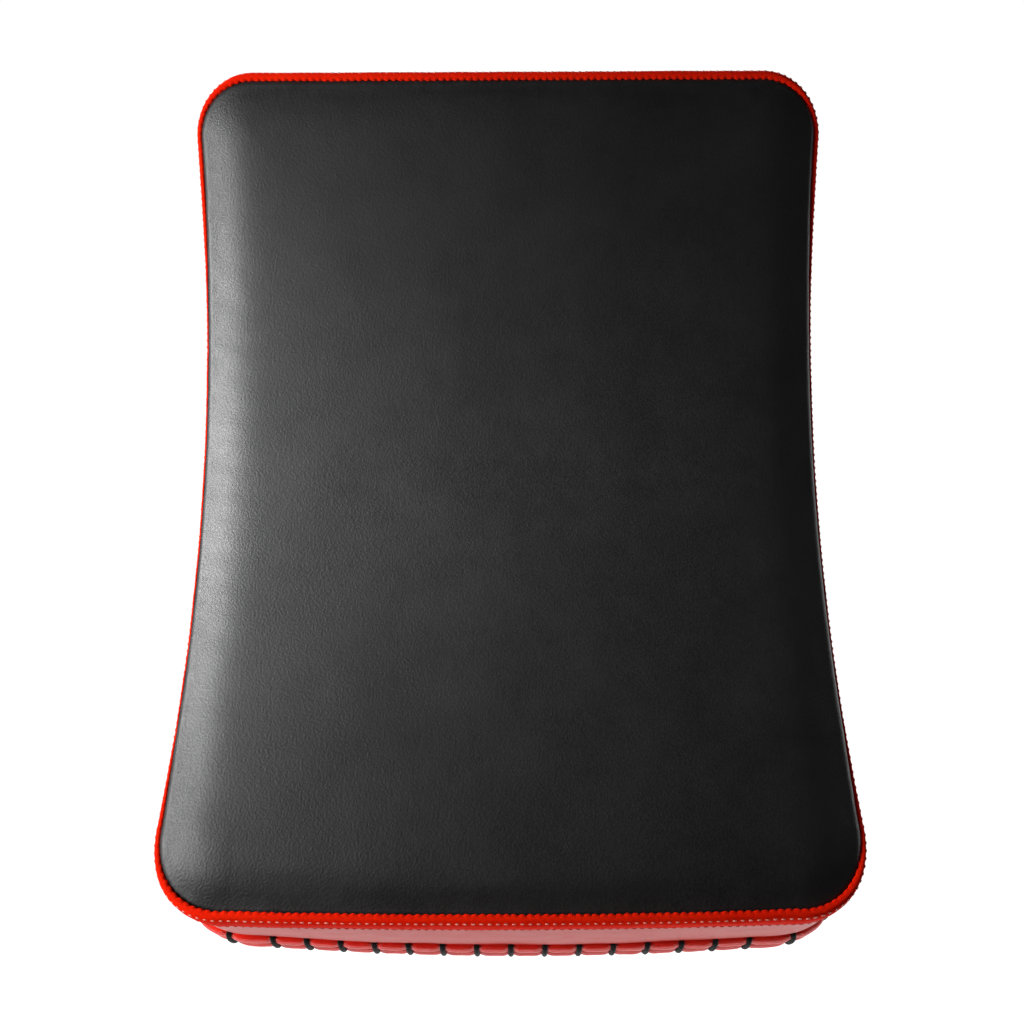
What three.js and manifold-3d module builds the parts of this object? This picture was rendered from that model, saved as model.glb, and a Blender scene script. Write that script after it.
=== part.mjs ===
// A curved Thai pad: a bent foam block in a leather cover, with two forearm straps and a padded grip behind.
// Millimetres. +Z runs up the pad and the striking face looks towards -Y. The origin is where the forearm
// lies: on the forearm cushion, behind the middle of the striking face.
import * as THREE from "three";
import { mergeVertices } from "three/addons/utils/BufferGeometryUtils.js";
import Module from "manifold-3d";

// Block: the striking face is a hollow arc, and every layer lies parallel to it.
const FACE_RADIUS = 435;
const PAD_WIDTH = 300;
const PAD_LENGTH = 386;
const TOP_CORNER = 27;
const BOTTOM_CORNER = 34;
const LEATHER = 2;
const GAP = 0.3;
const CROWN_DROP = 6;
const CROWN_REACH = 20;
const LAYER_FRONTS = { cover: 0, strike: 2.3, impact: 22.3, rear: 58.3, board: 78.3, panel: 80.6 };
const PANEL_BACK = 82.6;

// Seams: bindings round both rims, and the laced opening along the bottom of the rear rim.
const BINDING_PROUD = 3;
const FRONT_BINDING = { front: 4.5, back: 16.5 };
const REAR_BINDING = { front: 71, back: 83.5 };
const LACED_TOP = -PAD_LENGTH / 2 + BOTTOM_CORNER + 14;
const GUSSET_LACED_BACK = 61;
const ROLL_RADIUS = 4.5;
const ROLL_INSET = 3;
const ROLL_DEPTHS = { gusset: 68.3, panel: 77.7 };
const LACE_RADIUS = 0.9;
const LACE_PITCH = 15;
const LACE_CLEARANCE = 1.9;
const LACED_EDGE_INSET = 12;

// Forearm straps: half-elliptic arches that pass through a wire ring and fold back on themselves.
const STRAP_STATIONS = { upper: 12, lower: -98 };
const STRAP_WIDTH = 50;
const STRAP_THICKNESS = 4;
const ARCH = { half: 98, height: 82, base: 10 };
const FOOT_END = 140;
const FOOT_BEND = 112;
const PATCH_THICKNESS = 1.5;
const TAIL_THICKNESS = 3;
const PAD_LINING = 6;
const RING_WIRE = 2.2;
const RING_INNER_WIDTH = 53;
const RING_FOOT = { x: 97.5, y: 16 };
const RING_ANGLE = 23.7;
const FOLD_RADIUS = 4.6;
const TAB_WIDTH = 44;
const TAB_THICKNESS = 3;

// Grip: a leather strap inside a round padded sleeve.
const GRIP_STATION = 116;
const GRIP_HEIGHT = 52;
const GRIP_RADIUS = 17;
const GRIP_SLEEVE_LENGTH = 98;
const GRIP_STRAP_WIDTH = 28;
const GRIP_STRAP_BOTTOM = 10.5;
const GRIP_STRAP_FOOT_X = 70;
const GRIP_FOOT = { inner: 76, outer: 120, width: 40 };

// Forearm cushion and rivets.
const CUSHION = { halfWidth: 56, bottom: -172, top: 58, thickness: 18 };
const RIVET_HEAD = { radius: 5.5, height: 2.2 };
const RIVET_SHANK = 2;
const RIVET_HOLE = 2.4;
const STRAP_RIVET_X = 126;
const GRIP_RIVET_X = 98;
const STRAP_RIVET_Z = 14;
const GRIP_RIVET_Z = 11;

const SLAB_STEPS = 14;
const CORNER_STEPS = 4;

const wasm = await Module();
wasm.setup();

const leather = (color, roughness = 0.45) => (
  new THREE.MeshStandardMaterial({ color, roughness, metalness: 0 })
);
const MATERIALS = {
  black: leather(0x1e1e20, 0.42),
  red: leather(0xd01a08, 0.4),
  gusset: leather(0xb8231a, 0.38),
  foam: leather(0x3a3d42, 0.9),
  softFoam: leather(0xc9c4b4, 0.92),
  board: leather(0x8a6b45, 0.8),
  cord: leather(0x101012, 0.6),
  hook: leather(0x18181a, 0.95),
  lining: leather(0x2a2a2c, 0.8),
  steel: new THREE.MeshStandardMaterial({ color: 0xc4c6c8, roughness: 0.25, metalness: 1 }),
};

const part = new THREE.Group();
part.position.y = -(PANEL_BACK + CUSHION.thickness);

function add(parent, name, geometry, material) {
  const mesh = new THREE.Mesh(geometry, material);
  mesh.name = name;
  parent.add(mesh);
  return mesh;
}

// Booleans.
function toSolid(geometry) {
  const bare = geometry.index ? geometry.toNonIndexed() : geometry.clone();
  const plain = new THREE.BufferGeometry().setAttribute("position", bare.getAttribute("position"));
  const merged = mergeVertices(plain, 1e-4);
  const vertProperties = merged.getAttribute("position").array;
  const triVerts = new Uint32Array(merged.index.array);
  return new wasm.Manifold(new wasm.Mesh({ numProp: 3, vertProperties, triVerts }));
}

function fromSolid(solid) {
  const mesh = solid.getMesh();
  const geometry = new THREE.BufferGeometry();
  geometry.setAttribute("position", new THREE.BufferAttribute(mesh.vertProperties, 3));
  geometry.setIndex(new THREE.BufferAttribute(mesh.triVerts, 1));
  geometry.computeVertexNormals();
  return geometry;
}

function cut(geometry, ...tools) {
  const result = tools.reduce((solid, tool) => solid.subtract(toSolid(tool)), toSolid(geometry));
  return fromSolid(result);
}

// The bend: x across, s along the striking face, t into the pad from that face.
function bend(x, s, t) {
  const angle = s / FACE_RADIUS;
  const radius = FACE_RADIUS + t;
  return new THREE.Vector3(x, radius * Math.cos(angle) - FACE_RADIUS, radius * Math.sin(angle));
}

// Moves each vertex of a 2 x 2 x 2 box to a point given by its grid place.
function shapeBox(columns, rows, toPoint) {
  const geometry = new THREE.BoxGeometry(2, 2, 2, columns, rows, 1);
  const position = geometry.getAttribute("position");
  for (let i = 0; i < position.count; i++) {
    const column = Math.round(((position.getX(i) + 1) / 2) * columns);
    const row = Math.round(((position.getY(i) + 1) / 2) * rows);
    const point = toPoint(column, row, position.getZ(i) > 0);
    position.setXYZ(i, point.x, point.y, point.z);
  }
  return geometry;
}

// Distance inwards from the rounded outline of the pad, made smaller by inset.
function distanceIn(x, s, inset) {
  const corner = s > 0 ? TOP_CORNER : BOTTOM_CORNER;
  const dx = Math.abs(x) - (PAD_WIDTH / 2 - corner);
  const ds = Math.abs(s) - (PAD_LENGTH / 2 - corner);
  const outside = Math.hypot(Math.max(dx, 0), Math.max(ds, 0));
  return corner - inset - outside - Math.min(Math.max(dx, ds), 0);
}

const crownAt = (distance) => CROWN_DROP * Math.max(0, 1 - distance / CROWN_REACH) ** 2;

// Rows of a slab: its place along the face and its half width there, with round corners at both ends.
function slabRows(inset) {
  const cornerRows = (corner) => {
    const rows = [];
    for (let i = CORNER_STEPS; i > 0; i--) {
      const angle = (i / CORNER_STEPS) * (Math.PI / 2);
      const s = PAD_LENGTH / 2 - corner + (corner - inset) * Math.sin(angle);
      rows.push({ s, half: PAD_WIDTH / 2 - corner + (corner - inset) * Math.cos(angle) });
    }
    return rows;
  };
  const lowest = -PAD_LENGTH / 2 + BOTTOM_CORNER;
  const highest = PAD_LENGTH / 2 - TOP_CORNER;
  const middle = [];
  for (let i = 0; i <= SLAB_STEPS; i++) {
    middle.push({ s: lowest + ((highest - lowest) * i) / SLAB_STEPS, half: PAD_WIDTH / 2 - inset });
  }
  const lower = cornerRows(BOTTOM_CORNER).map(({ s, half }) => ({ s: -s, half }));
  return [...lower, ...middle, ...cornerRows(TOP_CORNER).reverse()];
}

// A layer of the block from depth front to depth back. A crowned front rolls off towards the rim.
function slab({ inset, front, back, crownFront = false, crownBack = false }) {
  const rows = slabRows(inset);
  const crowned = crownFront || crownBack;
  const fromEdge = crowned ? [0, 4, 10, CROWN_REACH] : [0];
  const columns = 2 * fromEdge.length;
  return shapeBox(columns, rows.length - 1, (column, row, isFront) => {
    const { s, half } = rows[row];
    const side = column < columns / 2 ? -1 : 1;
    const step = Math.min(column, columns - column);
    const x = step < fromEdge.length ? side * (half - fromEdge[step]) : 0;
    const drop = crownAt(distanceIn(x, s, inset));
    const t = isFront ? front + (crownFront ? drop : 0) : back + (crownBack ? drop : 0);
    return bend(x, s, t);
  });
}

// A block with straight sides that follows the bend.
function bentBlock({ left, right, bottom, top, front, back, steps = 10 }) {
  return shapeBox(1, steps, (column, row, isFront) => {
    const s = bottom + ((top - bottom) * row) / steps;
    return bend(column ? right : left, s, isFront ? front : back);
  });
}

// Points round the rear rim from the left end of the laced opening to its right end.
function lacedRim(inset) {
  const radius = BOTTOM_CORNER - inset;
  const centreX = PAD_WIDTH / 2 - BOTTOM_CORNER;
  const centreS = -PAD_LENGTH / 2 + BOTTOM_CORNER;
  const rim = new THREE.Path();
  rim.moveTo(-centreX - radius, LACED_TOP);
  rim.lineTo(-centreX - radius, centreS);
  rim.absarc(-centreX, centreS, radius, Math.PI, 1.5 * Math.PI, false);
  rim.lineTo(centreX, centreS - radius);
  rim.absarc(centreX, centreS, radius, 1.5 * Math.PI, 2 * Math.PI, false);
  rim.lineTo(centreX + radius, LACED_TOP);
  return rim;
}

function regular(sides, radius) {
  const shape = new THREE.Shape();
  for (let i = 0; i < sides; i++) {
    const angle = (2 * Math.PI * (i + 0.5)) / sides;
    const point = [radius * Math.cos(angle), radius * Math.sin(angle)];
    if (i) shape.lineTo(...point);
    else shape.moveTo(...point);
  }
  return shape;
}

function sweep(shape, points, steps) {
  const extrudePath = new THREE.CatmullRomCurve3(points, false, "centripetal");
  return new THREE.ExtrudeGeometry(shape, { steps, extrudePath, bevelEnabled: false });
}

// A flat band: its middle line in x and y, its thickness, and its width along z.
function band(line, thickness, width) {
  const side = (sign) => line.map((point, i) => {
    const before = line[Math.max(i - 1, 0)];
    const after = line[Math.min(i + 1, line.length - 1)];
    const along = after.clone().sub(before).normalize();
    return point.clone().add(new THREE.Vector2(-along.y, along.x).multiplyScalar((sign * thickness) / 2));
  });
  const shape = new THREE.Shape([...side(1), ...side(-1).reverse()]);
  const geometry = new THREE.ExtrudeGeometry(shape, { depth: width, bevelEnabled: false });
  return geometry.translate(0, 0, -width / 2);
}

const smooth = (points, count) => new THREE.SplineCurve(points).getSpacedPoints(count);
const vec = (x, y) => new THREE.Vector2(x, y);

// A place on the back panel: y points out of the panel and z runs up it.
function onPanel(station) {
  const group = new THREE.Group();
  group.position.copy(bend(0, station, PANEL_BACK));
  group.rotation.x = station / FACE_RADIUS;
  part.add(group);
  return group;
}

// A point on the arch, offset outwards from its middle line; 0 degrees is its right foot.
function archPoint(degrees, offset = 0) {
  const angle = THREE.MathUtils.degToRad(degrees);
  const point = vec(ARCH.half * Math.cos(angle), ARCH.base + ARCH.height * Math.sin(angle));
  const normal = vec(ARCH.height * Math.cos(angle), ARCH.half * Math.sin(angle)).normalize();
  return point.addScaledVector(normal, offset);
}

function archLine(from, to, offset, count, endOffset = offset) {
  const line = [];
  for (let i = 0; i <= count; i++) {
    const share = i / count;
    line.push(archPoint(from + (to - from) * share, offset + (endOffset - offset) * share));
  }
  return line;
}

// Rivets stand at these places on the back panel.
const rivets = [];
for (const [name, station] of Object.entries(STRAP_STATIONS)) {
  for (const [side, x] of [["anchor", -STRAP_RIVET_X], ["tab", STRAP_RIVET_X]]) {
    rivets.push({ name: `${name}_${side}_rivet_bottom`, station, x, z: -STRAP_RIVET_Z });
    rivets.push({ name: `${name}_${side}_rivet_top`, station, x, z: STRAP_RIVET_Z });
  }
}
for (const [side, x] of [["left", -GRIP_RIVET_X], ["right", GRIP_RIVET_X]]) {
  rivets.push({ name: `grip_${side}_rivet_bottom`, station: GRIP_STATION, x, z: -GRIP_RIVET_Z });
  rivets.push({ name: `grip_${side}_rivet_top`, station: GRIP_STATION, x, z: GRIP_RIVET_Z });
}

function rivetHole({ station, x, z }) {
  const hole = new THREE.CylinderGeometry(RIVET_HOLE, RIVET_HOLE, 20, 8).translate(x, 0, z);
  hole.rotateX(station / FACE_RADIUS);
  const centre = bend(0, station, PANEL_BACK);
  return hole.translate(centre.x, centre.y, centre.z);
}

const localHoles = (x, z) => [-z, z].map((height) => (
  new THREE.CylinderGeometry(RIVET_HOLE, RIVET_HOLE, 20, 8).translate(x, 0, height)
));

// The block.
function buildBlock() {
  const { cover, strike, impact, rear, board, panel } = LAYER_FRONTS;
  const foamInset = LEATHER + 0.6;
  add(part, "strike_cover", slab({
    inset: 0, front: cover, back: cover + LEATHER, crownFront: true, crownBack: true,
  }), MATERIALS.black);
  add(part, "strike_foam", slab({
    inset: foamInset, front: strike + GAP, back: impact - GAP, crownFront: true,
  }), MATERIALS.foam);
  add(part, "impact_foam", slab({ inset: foamInset, front: impact, back: rear - GAP }), MATERIALS.softFoam);

  // Along the laced opening the rear layers stop short, so that the lace can pass behind the hem rolls.
  const lacedZone = bentBlock({
    left: -PAD_WIDTH, right: PAD_WIDTH, bottom: -PAD_LENGTH, top: LACED_TOP + 4,
    front: GUSSET_LACED_BACK - 2, back: PANEL_BACK + 10,
  });
  const kept = slab({ inset: LACED_EDGE_INSET, front: GUSSET_LACED_BACK - 4, back: PANEL_BACK + 12 });
  const trim = cut(lacedZone, kept);
  const holes = rivets.map(rivetHole);
  add(part, "rear_foam", cut(
    slab({ inset: foamInset, front: rear, back: board - GAP }), trim,
  ), MATERIALS.foam);
  add(part, "backing_board", cut(
    slab({ inset: 8, front: board, back: panel - GAP }), trim, ...holes,
  ), MATERIALS.board);
  add(part, "back_panel", cut(
    slab({ inset: 0, front: panel, back: PANEL_BACK }), trim, ...holes,
  ), MATERIALS.black);
}

// The side wall, the bindings over its two rims, and the laced opening.
function buildSeams() {
  const hollow = slab({ inset: LEATHER, front: -20, back: PANEL_BACK + 20 });
  const lacedGap = bentBlock({
    left: -PAD_WIDTH, right: PAD_WIDTH, bottom: -PAD_LENGTH, top: LACED_TOP,
    front: GUSSET_LACED_BACK, back: PANEL_BACK + 20,
  });
  const wallFront = CROWN_DROP + LEATHER + GAP;
  const wall = slab({ inset: 0, front: wallFront, back: LAYER_FRONTS.panel - GAP });
  add(part, "side_gusset", cut(wall, hollow, lacedGap), MATERIALS.gusset);

  const bore = slab({ inset: -GAP, front: -20, back: PANEL_BACK + 20 });
  const bindingBand = (rim) => slab({ inset: -BINDING_PROUD, ...rim });
  add(part, "front_binding", cut(bindingBand(FRONT_BINDING), bore), MATERIALS.red);
  add(part, "rear_binding", cut(bindingBand(REAR_BINDING), bore, lacedGap), MATERIALS.red);

  const rim = lacedRim(ROLL_INSET);
  for (const [name, depth] of Object.entries(ROLL_DEPTHS)) {
    const points = rim.getSpacedPoints(34).map((point) => bend(point.x, point.y - GAP, depth));
    add(part, `${name}_hem_roll`, sweep(regular(8, ROLL_RADIUS), points, 34), MATERIALS.red);
  }
}

// One cord winds round both hem rolls, turn after turn, from one end of the opening to the other.
function buildLacing() {
  const rim = lacedRim(ROLL_INSET);
  const turns = Math.round(rim.getLength() / LACE_PITCH) - 1;
  const middle = (ROLL_DEPTHS.gusset + ROLL_DEPTHS.panel) / 2;
  const spread = (ROLL_DEPTHS.panel - ROLL_DEPTHS.gusset) / 2;
  const reach = ROLL_RADIUS + LACE_CLEARANCE;
  const perTurn = 16;
  const points = [];
  for (let i = 0; i <= turns * perTurn; i++) {
    const share = 0.02 + (0.96 * i) / (turns * perTurn);
    const angle = (2 * Math.PI * i) / perTurn;
    const at = rim.getPointAt(share);
    const along = rim.getTangentAt(share);
    const across = reach * Math.cos(angle);
    const side = [0, perTurn / 2].includes(i % perTurn) ? 0 : Math.sign(Math.sin(angle));
    const depth = middle + reach * Math.sin(angle) + spread * side;
    points.push(bend(at.x - along.y * across, at.y + along.x * across, depth));
  }
  add(part, "lacing_cord", sweep(regular(4, LACE_RADIUS), points, turns * 10), MATERIALS.cord);
}

function buildCushion() {
  const { halfWidth, bottom, top, thickness } = CUSHION;
  const shell = 1.5;
  const front = PANEL_BACK + GAP;
  const back = PANEL_BACK + thickness;
  const block = (margin, from, to) => bentBlock({
    left: -halfWidth + margin, right: halfWidth - margin, bottom: bottom + margin, top: top - margin,
    front: from, back: to,
  });
  add(part, "forearm_cushion_foam", block(shell + GAP, front, back - shell - GAP), MATERIALS.foam);
  const cover = cut(block(0, front, back), block(shell, front - 5, back - shell));
  add(part, "forearm_cushion_cover", cover, MATERIALS.black);
}

// The ring's upper bar, in the plane of the strap.
function foldCentre() {
  return archPoint(RING_ANGLE, FOLD_RADIUS);
}

function ringGeometry() {
  const top = foldCentre();
  const foot = vec(RING_FOOT.x, RING_FOOT.y);
  const half = RING_INNER_WIDTH / 2 + RING_WIRE;
  const inset = 3;
  const up = top.clone().sub(foot);
  const length = up.length();
  up.normalize();
  const outline = [
    [0, -half + inset], [0, half - inset], [inset, half], [length - inset, half],
    [length, half - inset], [length, -half + inset], [length - inset, -half], [inset, -half],
  ];
  const points = outline.map(([rise, z]) => new THREE.Vector3(foot.x + up.x * rise, foot.y + up.y * rise, z));
  const bars = points.map((point, i) => {
    const next = points[(i + 1) % points.length];
    const path = new THREE.LineCurve3(point, next);
    const options = { steps: 1, extrudePath: path, bevelEnabled: false };
    return new THREE.ExtrudeGeometry(regular(6, RING_WIRE), options);
  });
  const joints = points.map((point) => new THREE.IcosahedronGeometry(RING_WIRE, 0).translate(...point));
  const whole = [...bars, ...joints].map(toSolid).reduce((sum, piece) => sum.add(piece));
  return fromSolid(whole);
}

// From just above the bar on the inner side, round under it, to the outer side.
function foldLine() {
  const centre = foldCentre();
  const inner = archPoint(RING_ANGLE, 0).sub(centre);
  const line = [archPoint(RING_ANGLE + 4.5, 0), archPoint(RING_ANGLE + 2.5, 0)];
  for (let i = 0; i <= 8; i++) {
    line.push(inner.clone().rotateAround(vec(0, 0), (Math.PI * i) / 8).add(centre));
  }
  return line;
}

function tabLine() {
  const reach = RING_WIRE + 0.4 + TAB_THICKNESS / 2;
  const flat = GAP + TAB_THICKNESS / 2;
  const end = vec(RING_FOOT.x + reach, RING_FOOT.y);
  const rise = smooth([vec(FOOT_BEND, flat), vec(105.5, 3.6), vec(102, 9), end], 6);
  const line = [vec(FOOT_END, flat), ...rise];
  for (let i = 1; i <= 8; i++) {
    const angle = (i / 8) * THREE.MathUtils.degToRad(235);
    line.push(vec(RING_FOOT.x + reach * Math.cos(angle), RING_FOOT.y + reach * Math.sin(angle)));
  }
  return line;
}

function buildStrap(name, station) {
  const place = onPanel(station);
  const flat = GAP + STRAP_THICKNESS / 2;
  const foot = smooth([vec(-FOOT_BEND, flat), vec(-103.5, 4.6), vec(-98.8, 11), archPoint(174)], 5);
  const archStart = RING_ANGLE + 6.2;
  const arch = [vec(-FOOT_END, flat), ...foot, ...archLine(166, archStart, 0, 20)];
  const lining = STRAP_THICKNESS / 2 + GAP + PAD_LINING / 2;
  const loop = STRAP_THICKNESS / 2 + GAP + PATCH_THICKNESS / 2;
  const hook = loop + PATCH_THICKNESS + GAP;
  const tail = hook + PATCH_THICKNESS / 2 + GAP + TAIL_THICKNESS / 2;
  const strap = cut(band(arch, STRAP_THICKNESS, STRAP_WIDTH), ...localHoles(-STRAP_RIVET_X, STRAP_RIVET_Z));
  const tab = cut(band(tabLine(), TAB_THICKNESS, TAB_WIDTH), ...localHoles(STRAP_RIVET_X, STRAP_RIVET_Z));
  const bands = {
    strap_lining: [archLine(145, 38, -lining, 12), PAD_LINING, STRAP_WIDTH - 4, MATERIALS.lining],
    loop_patch: [archLine(88, 40, loop, 7), PATCH_THICKNESS, STRAP_WIDTH - 6, MATERIALS.hook],
    strap_fold: [foldLine(), STRAP_THICKNESS - 0.5, STRAP_WIDTH, MATERIALS.black],
    strap_tail: [archLine(28.4, 90, 2 * FOLD_RADIUS, 10, tail), TAIL_THICKNESS, STRAP_WIDTH, MATERIALS.black],
    hook_patch: [archLine(82, 46, hook, 6), PATCH_THICKNESS, STRAP_WIDTH - 8, MATERIALS.hook],
  };
  add(place, `${name}_strap`, strap, MATERIALS.black);
  for (const [suffix, [line, thickness, width, material]] of Object.entries(bands)) {
    add(place, `${name}_${suffix}`, band(line, thickness, width), material);
  }
  add(place, `${name}_ring`, ringGeometry(), MATERIALS.steel);
  add(place, `${name}_ring_tab`, tab, MATERIALS.black);
}

function buildRivets() {
  for (const { name, station, x, z } of rivets) {
    const place = onPanel(station);
    const under = GAP + (x > 0 && name.includes("tab") ? TAB_THICKNESS : STRAP_THICKNESS) + GAP;
    const profile = [
      [0, -4], [RIVET_SHANK, -4], [RIVET_SHANK, under], [RIVET_HEAD.radius, under],
      [RIVET_HEAD.radius * 0.7, under + RIVET_HEAD.height * 0.8], [0, under + RIVET_HEAD.height],
    ].map(([radius, y]) => vec(radius, y));
    add(place, name, new THREE.LatheGeometry(profile, 8).translate(x, 0, z), MATERIALS.steel);
  }
}

function tubeAlongX(outer, inner, length) {
  const shape = outer.clone();
  shape.holes.push(inner);
  const geometry = new THREE.ExtrudeGeometry(shape, { depth: length, bevelEnabled: false });
  return geometry.rotateY(Math.PI / 2).translate(-length / 2, GRIP_HEIGHT, 0);
}

function buildGrip() {
  const place = onPanel(GRIP_STATION);
  const foot = GRIP_STRAP_FOOT_X;
  const rise = [vec(-foot, GRIP_STRAP_BOTTOM), vec(1 - foot, 24), vec(4 - foot, 38), vec(10 - foot, 48.5)];
  const left = smooth([...rise, vec(18 - foot, GRIP_HEIGHT)], 8);
  const right = left.map((point) => vec(-point.x, point.y)).reverse();
  add(place, "grip_strap", band([...left, ...right], STRAP_THICKNESS, GRIP_STRAP_WIDTH), MATERIALS.black);

  const slotHalf = [STRAP_THICKNESS / 2 + GAP, GRIP_STRAP_WIDTH / 2 + GAP];
  const [high, wide] = slotHalf;
  const slot = new THREE.Path([vec(-wide, -high), vec(-wide, high), vec(wide, high), vec(wide, -high)]);
  add(place, "grip_foam", tubeAlongX(regular(16, GRIP_RADIUS), slot, GRIP_SLEEVE_LENGTH), MATERIALS.softFoam);
  const bore = regular(16, GRIP_RADIUS + GAP);
  const cover = tubeAlongX(regular(16, GRIP_RADIUS + 2), bore, GRIP_SLEEVE_LENGTH);
  add(place, "grip_cover", cover, MATERIALS.black);
  const collarBore = regular(16, GRIP_RADIUS + 2 + GAP);
  for (const [side, sign] of [["left", -1], ["right", 1]]) {
    const collar = tubeAlongX(regular(16, GRIP_RADIUS + 3.8), collarBore, 10);
    collar.translate(sign * (GRIP_SLEEVE_LENGTH / 2 - 6), 0, 0);
    add(place, `grip_collar_${side}`, collar, MATERIALS.red);
  }
  for (const [side, sign] of [["left", -1], ["right", 1]]) {
    const flat = GAP + STRAP_THICKNESS / 2;
    const line = [vec(sign * GRIP_FOOT.inner, flat), vec(sign * GRIP_FOOT.outer, flat)];
    const foot = band(sign > 0 ? line : line.reverse(), STRAP_THICKNESS, GRIP_FOOT.width);
    const holes = localHoles(sign * GRIP_RIVET_X, GRIP_RIVET_Z);
    add(place, `grip_foot_${side}`, cut(foot, ...holes), MATERIALS.black);
  }
}

buildBlock();
buildSeams();
buildLacing();
buildCushion();
for (const [name, station] of Object.entries(STRAP_STATIONS)) {
  buildStrap(name, station);
}
buildGrip();
buildRivets();

export default part;
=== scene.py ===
"""The Thai pad's looks on its CAD frame: leather over foam, bindings, stitches, lacing, straps and grip."""
import math

import bmesh
import bpy
import numpy as np
from mathutils import Matrix, Vector, noise


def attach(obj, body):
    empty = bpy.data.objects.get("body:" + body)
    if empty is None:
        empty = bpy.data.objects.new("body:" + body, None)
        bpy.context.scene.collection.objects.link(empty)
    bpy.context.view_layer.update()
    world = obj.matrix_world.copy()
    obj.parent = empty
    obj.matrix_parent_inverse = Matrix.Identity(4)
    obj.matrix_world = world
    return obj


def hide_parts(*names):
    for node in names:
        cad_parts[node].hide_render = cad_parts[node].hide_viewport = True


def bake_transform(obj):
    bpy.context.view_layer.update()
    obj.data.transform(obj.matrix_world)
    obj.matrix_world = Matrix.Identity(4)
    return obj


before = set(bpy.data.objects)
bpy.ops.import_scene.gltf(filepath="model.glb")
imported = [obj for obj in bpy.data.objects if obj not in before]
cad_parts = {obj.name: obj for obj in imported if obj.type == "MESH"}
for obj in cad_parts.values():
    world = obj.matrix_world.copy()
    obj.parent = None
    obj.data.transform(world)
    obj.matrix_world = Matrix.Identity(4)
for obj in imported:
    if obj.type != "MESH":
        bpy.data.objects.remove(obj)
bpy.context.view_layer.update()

# ---------------------------------------------------------------- driving sizes, in metres

MM = 0.001
FACE_RADIUS = 435 * MM
PAD_WIDTH = 300 * MM
PAD_LENGTH = 386 * MM
TOP_CORNER = 27 * MM
BOTTOM_CORNER = 34 * MM
PANEL_BACK = 82.6 * MM
CUSHION_THICKNESS = 18 * MM
FACE_Y = -(PANEL_BACK + CUSHION_THICKNESS)
OUTLINE = 2 * (PAD_WIDTH + PAD_LENGTH) - (4 - math.pi) * (TOP_CORNER + BOTTOM_CORNER)

# The face slopes away over CROWN_REACH, more steeply over the bottom's LOW_ROLL, and turns in over FACE_EDGE.
CROWN_REACH = 17 * MM
CROWN_SLOPE = 0.25
LOW_ROLL = 12 * MM
LOW_SLOPE = 0.25
FACE_EDGE = 3 * MM
FACE_SWELL = 1.0 * MM

# The bottom edge bows out, and its corners are filled out, more at the rear than at the front.
FRONT_BOW = 1.7 * MM
REAR_BOW = 3.3 * MM
REAR_BOW_SHIFT = 10 * MM
FRONT_FILL = 1.0 * MM
REAR_FILL = 9 * MM
CORNER_DROP = 1.5 * MM
LOW_NARROWING = 0.004

LACED_RISE = 14 * MM
LACED_HALF = PAD_WIDTH / 2 - BOTTOM_CORNER + BOTTOM_CORNER * math.pi / 2 + LACED_RISE
GUSSET_FRONT = 8 * MM
GUSSET_BACK = 80.5 * MM
GUSSET_LACED_BACK = 64.4 * MM
ROLL_RADIUS = 4.5 * MM
ROLL_INSET = 3 * MM
ROLL_DEPTHS = {"gusset": 68.3 * MM, "panel": 77.7 * MM}
LACE_RADIUS = 1.35 * MM
LACE_TURNS = 23
LACE_END = LACED_HALF - 9 * MM
STITCH_PITCH = 3.3 * MM
LIP_BITE = 0.42 * MM

BED_HALF_WIDTH = 56 * MM
BED_HALF_LENGTH = 115 * MM
BED_MIDDLE = -57 * MM
BED_CORNER = 16 * MM
BED_FLANGE = 6 * MM
BED_SEAM = 2.0 * MM
BED_CHANNELS = np.linspace(-BED_HALF_LENGTH, BED_HALF_LENGTH, 6)[1:-1]

STRAP_STATIONS = {"upper": 12 * MM, "lower": -98 * MM}
STRAP_WIDTH = 50 * MM
STRAP_THICKNESS = 4 * MM
TAIL_THICKNESS = 3 * MM
ARCH_HALF = 98 * MM
ARCH_HEIGHT = 82 * MM
ARCH_BASE = 10 * MM
FOOT_END = 140 * MM
FOOT_BEND = 112 * MM
RING_FOOT = (97.5 * MM, 16 * MM)
RING_ANGLE = 23.7
RING_WIRE = 2.2 * MM
RING_CORNER = 5 * MM
RING_INNER_WIDTH = 53 * MM
FOLD_RADIUS = 4.6 * MM
GRIP_STATION = 116 * MM
GRIP_HEIGHT = 52 * MM
GRIP_SLEEVE = 98 * MM
GRIP_RADIUS = 18 * MM


# ---------------------------------------------------------------- the pad's own coordinates

def bend(x, s, t):
    """x across, s up along the striking face, t into the pad from that face."""
    x, s, t = np.broadcast_arrays(np.asarray(x, float), s, t)
    angle = s / FACE_RADIUS
    radius = FACE_RADIUS + t
    return np.stack([x, radius * np.cos(angle) - FACE_RADIUS + FACE_Y, radius * np.sin(angle)], -1)


def panel_frame(station):
    """A place on the back panel: x across, y out of the panel, z up it."""
    origin = Vector(bend(0.0, station, PANEL_BACK))
    return Matrix.Translation(origin) @ Matrix.Rotation(station / FACE_RADIUS, 4, "X")


def in_frame(matrix, points):
    return np.asarray(points, float) @ np.array(matrix.to_3x3()).T + np.array(matrix.translation)


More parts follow.
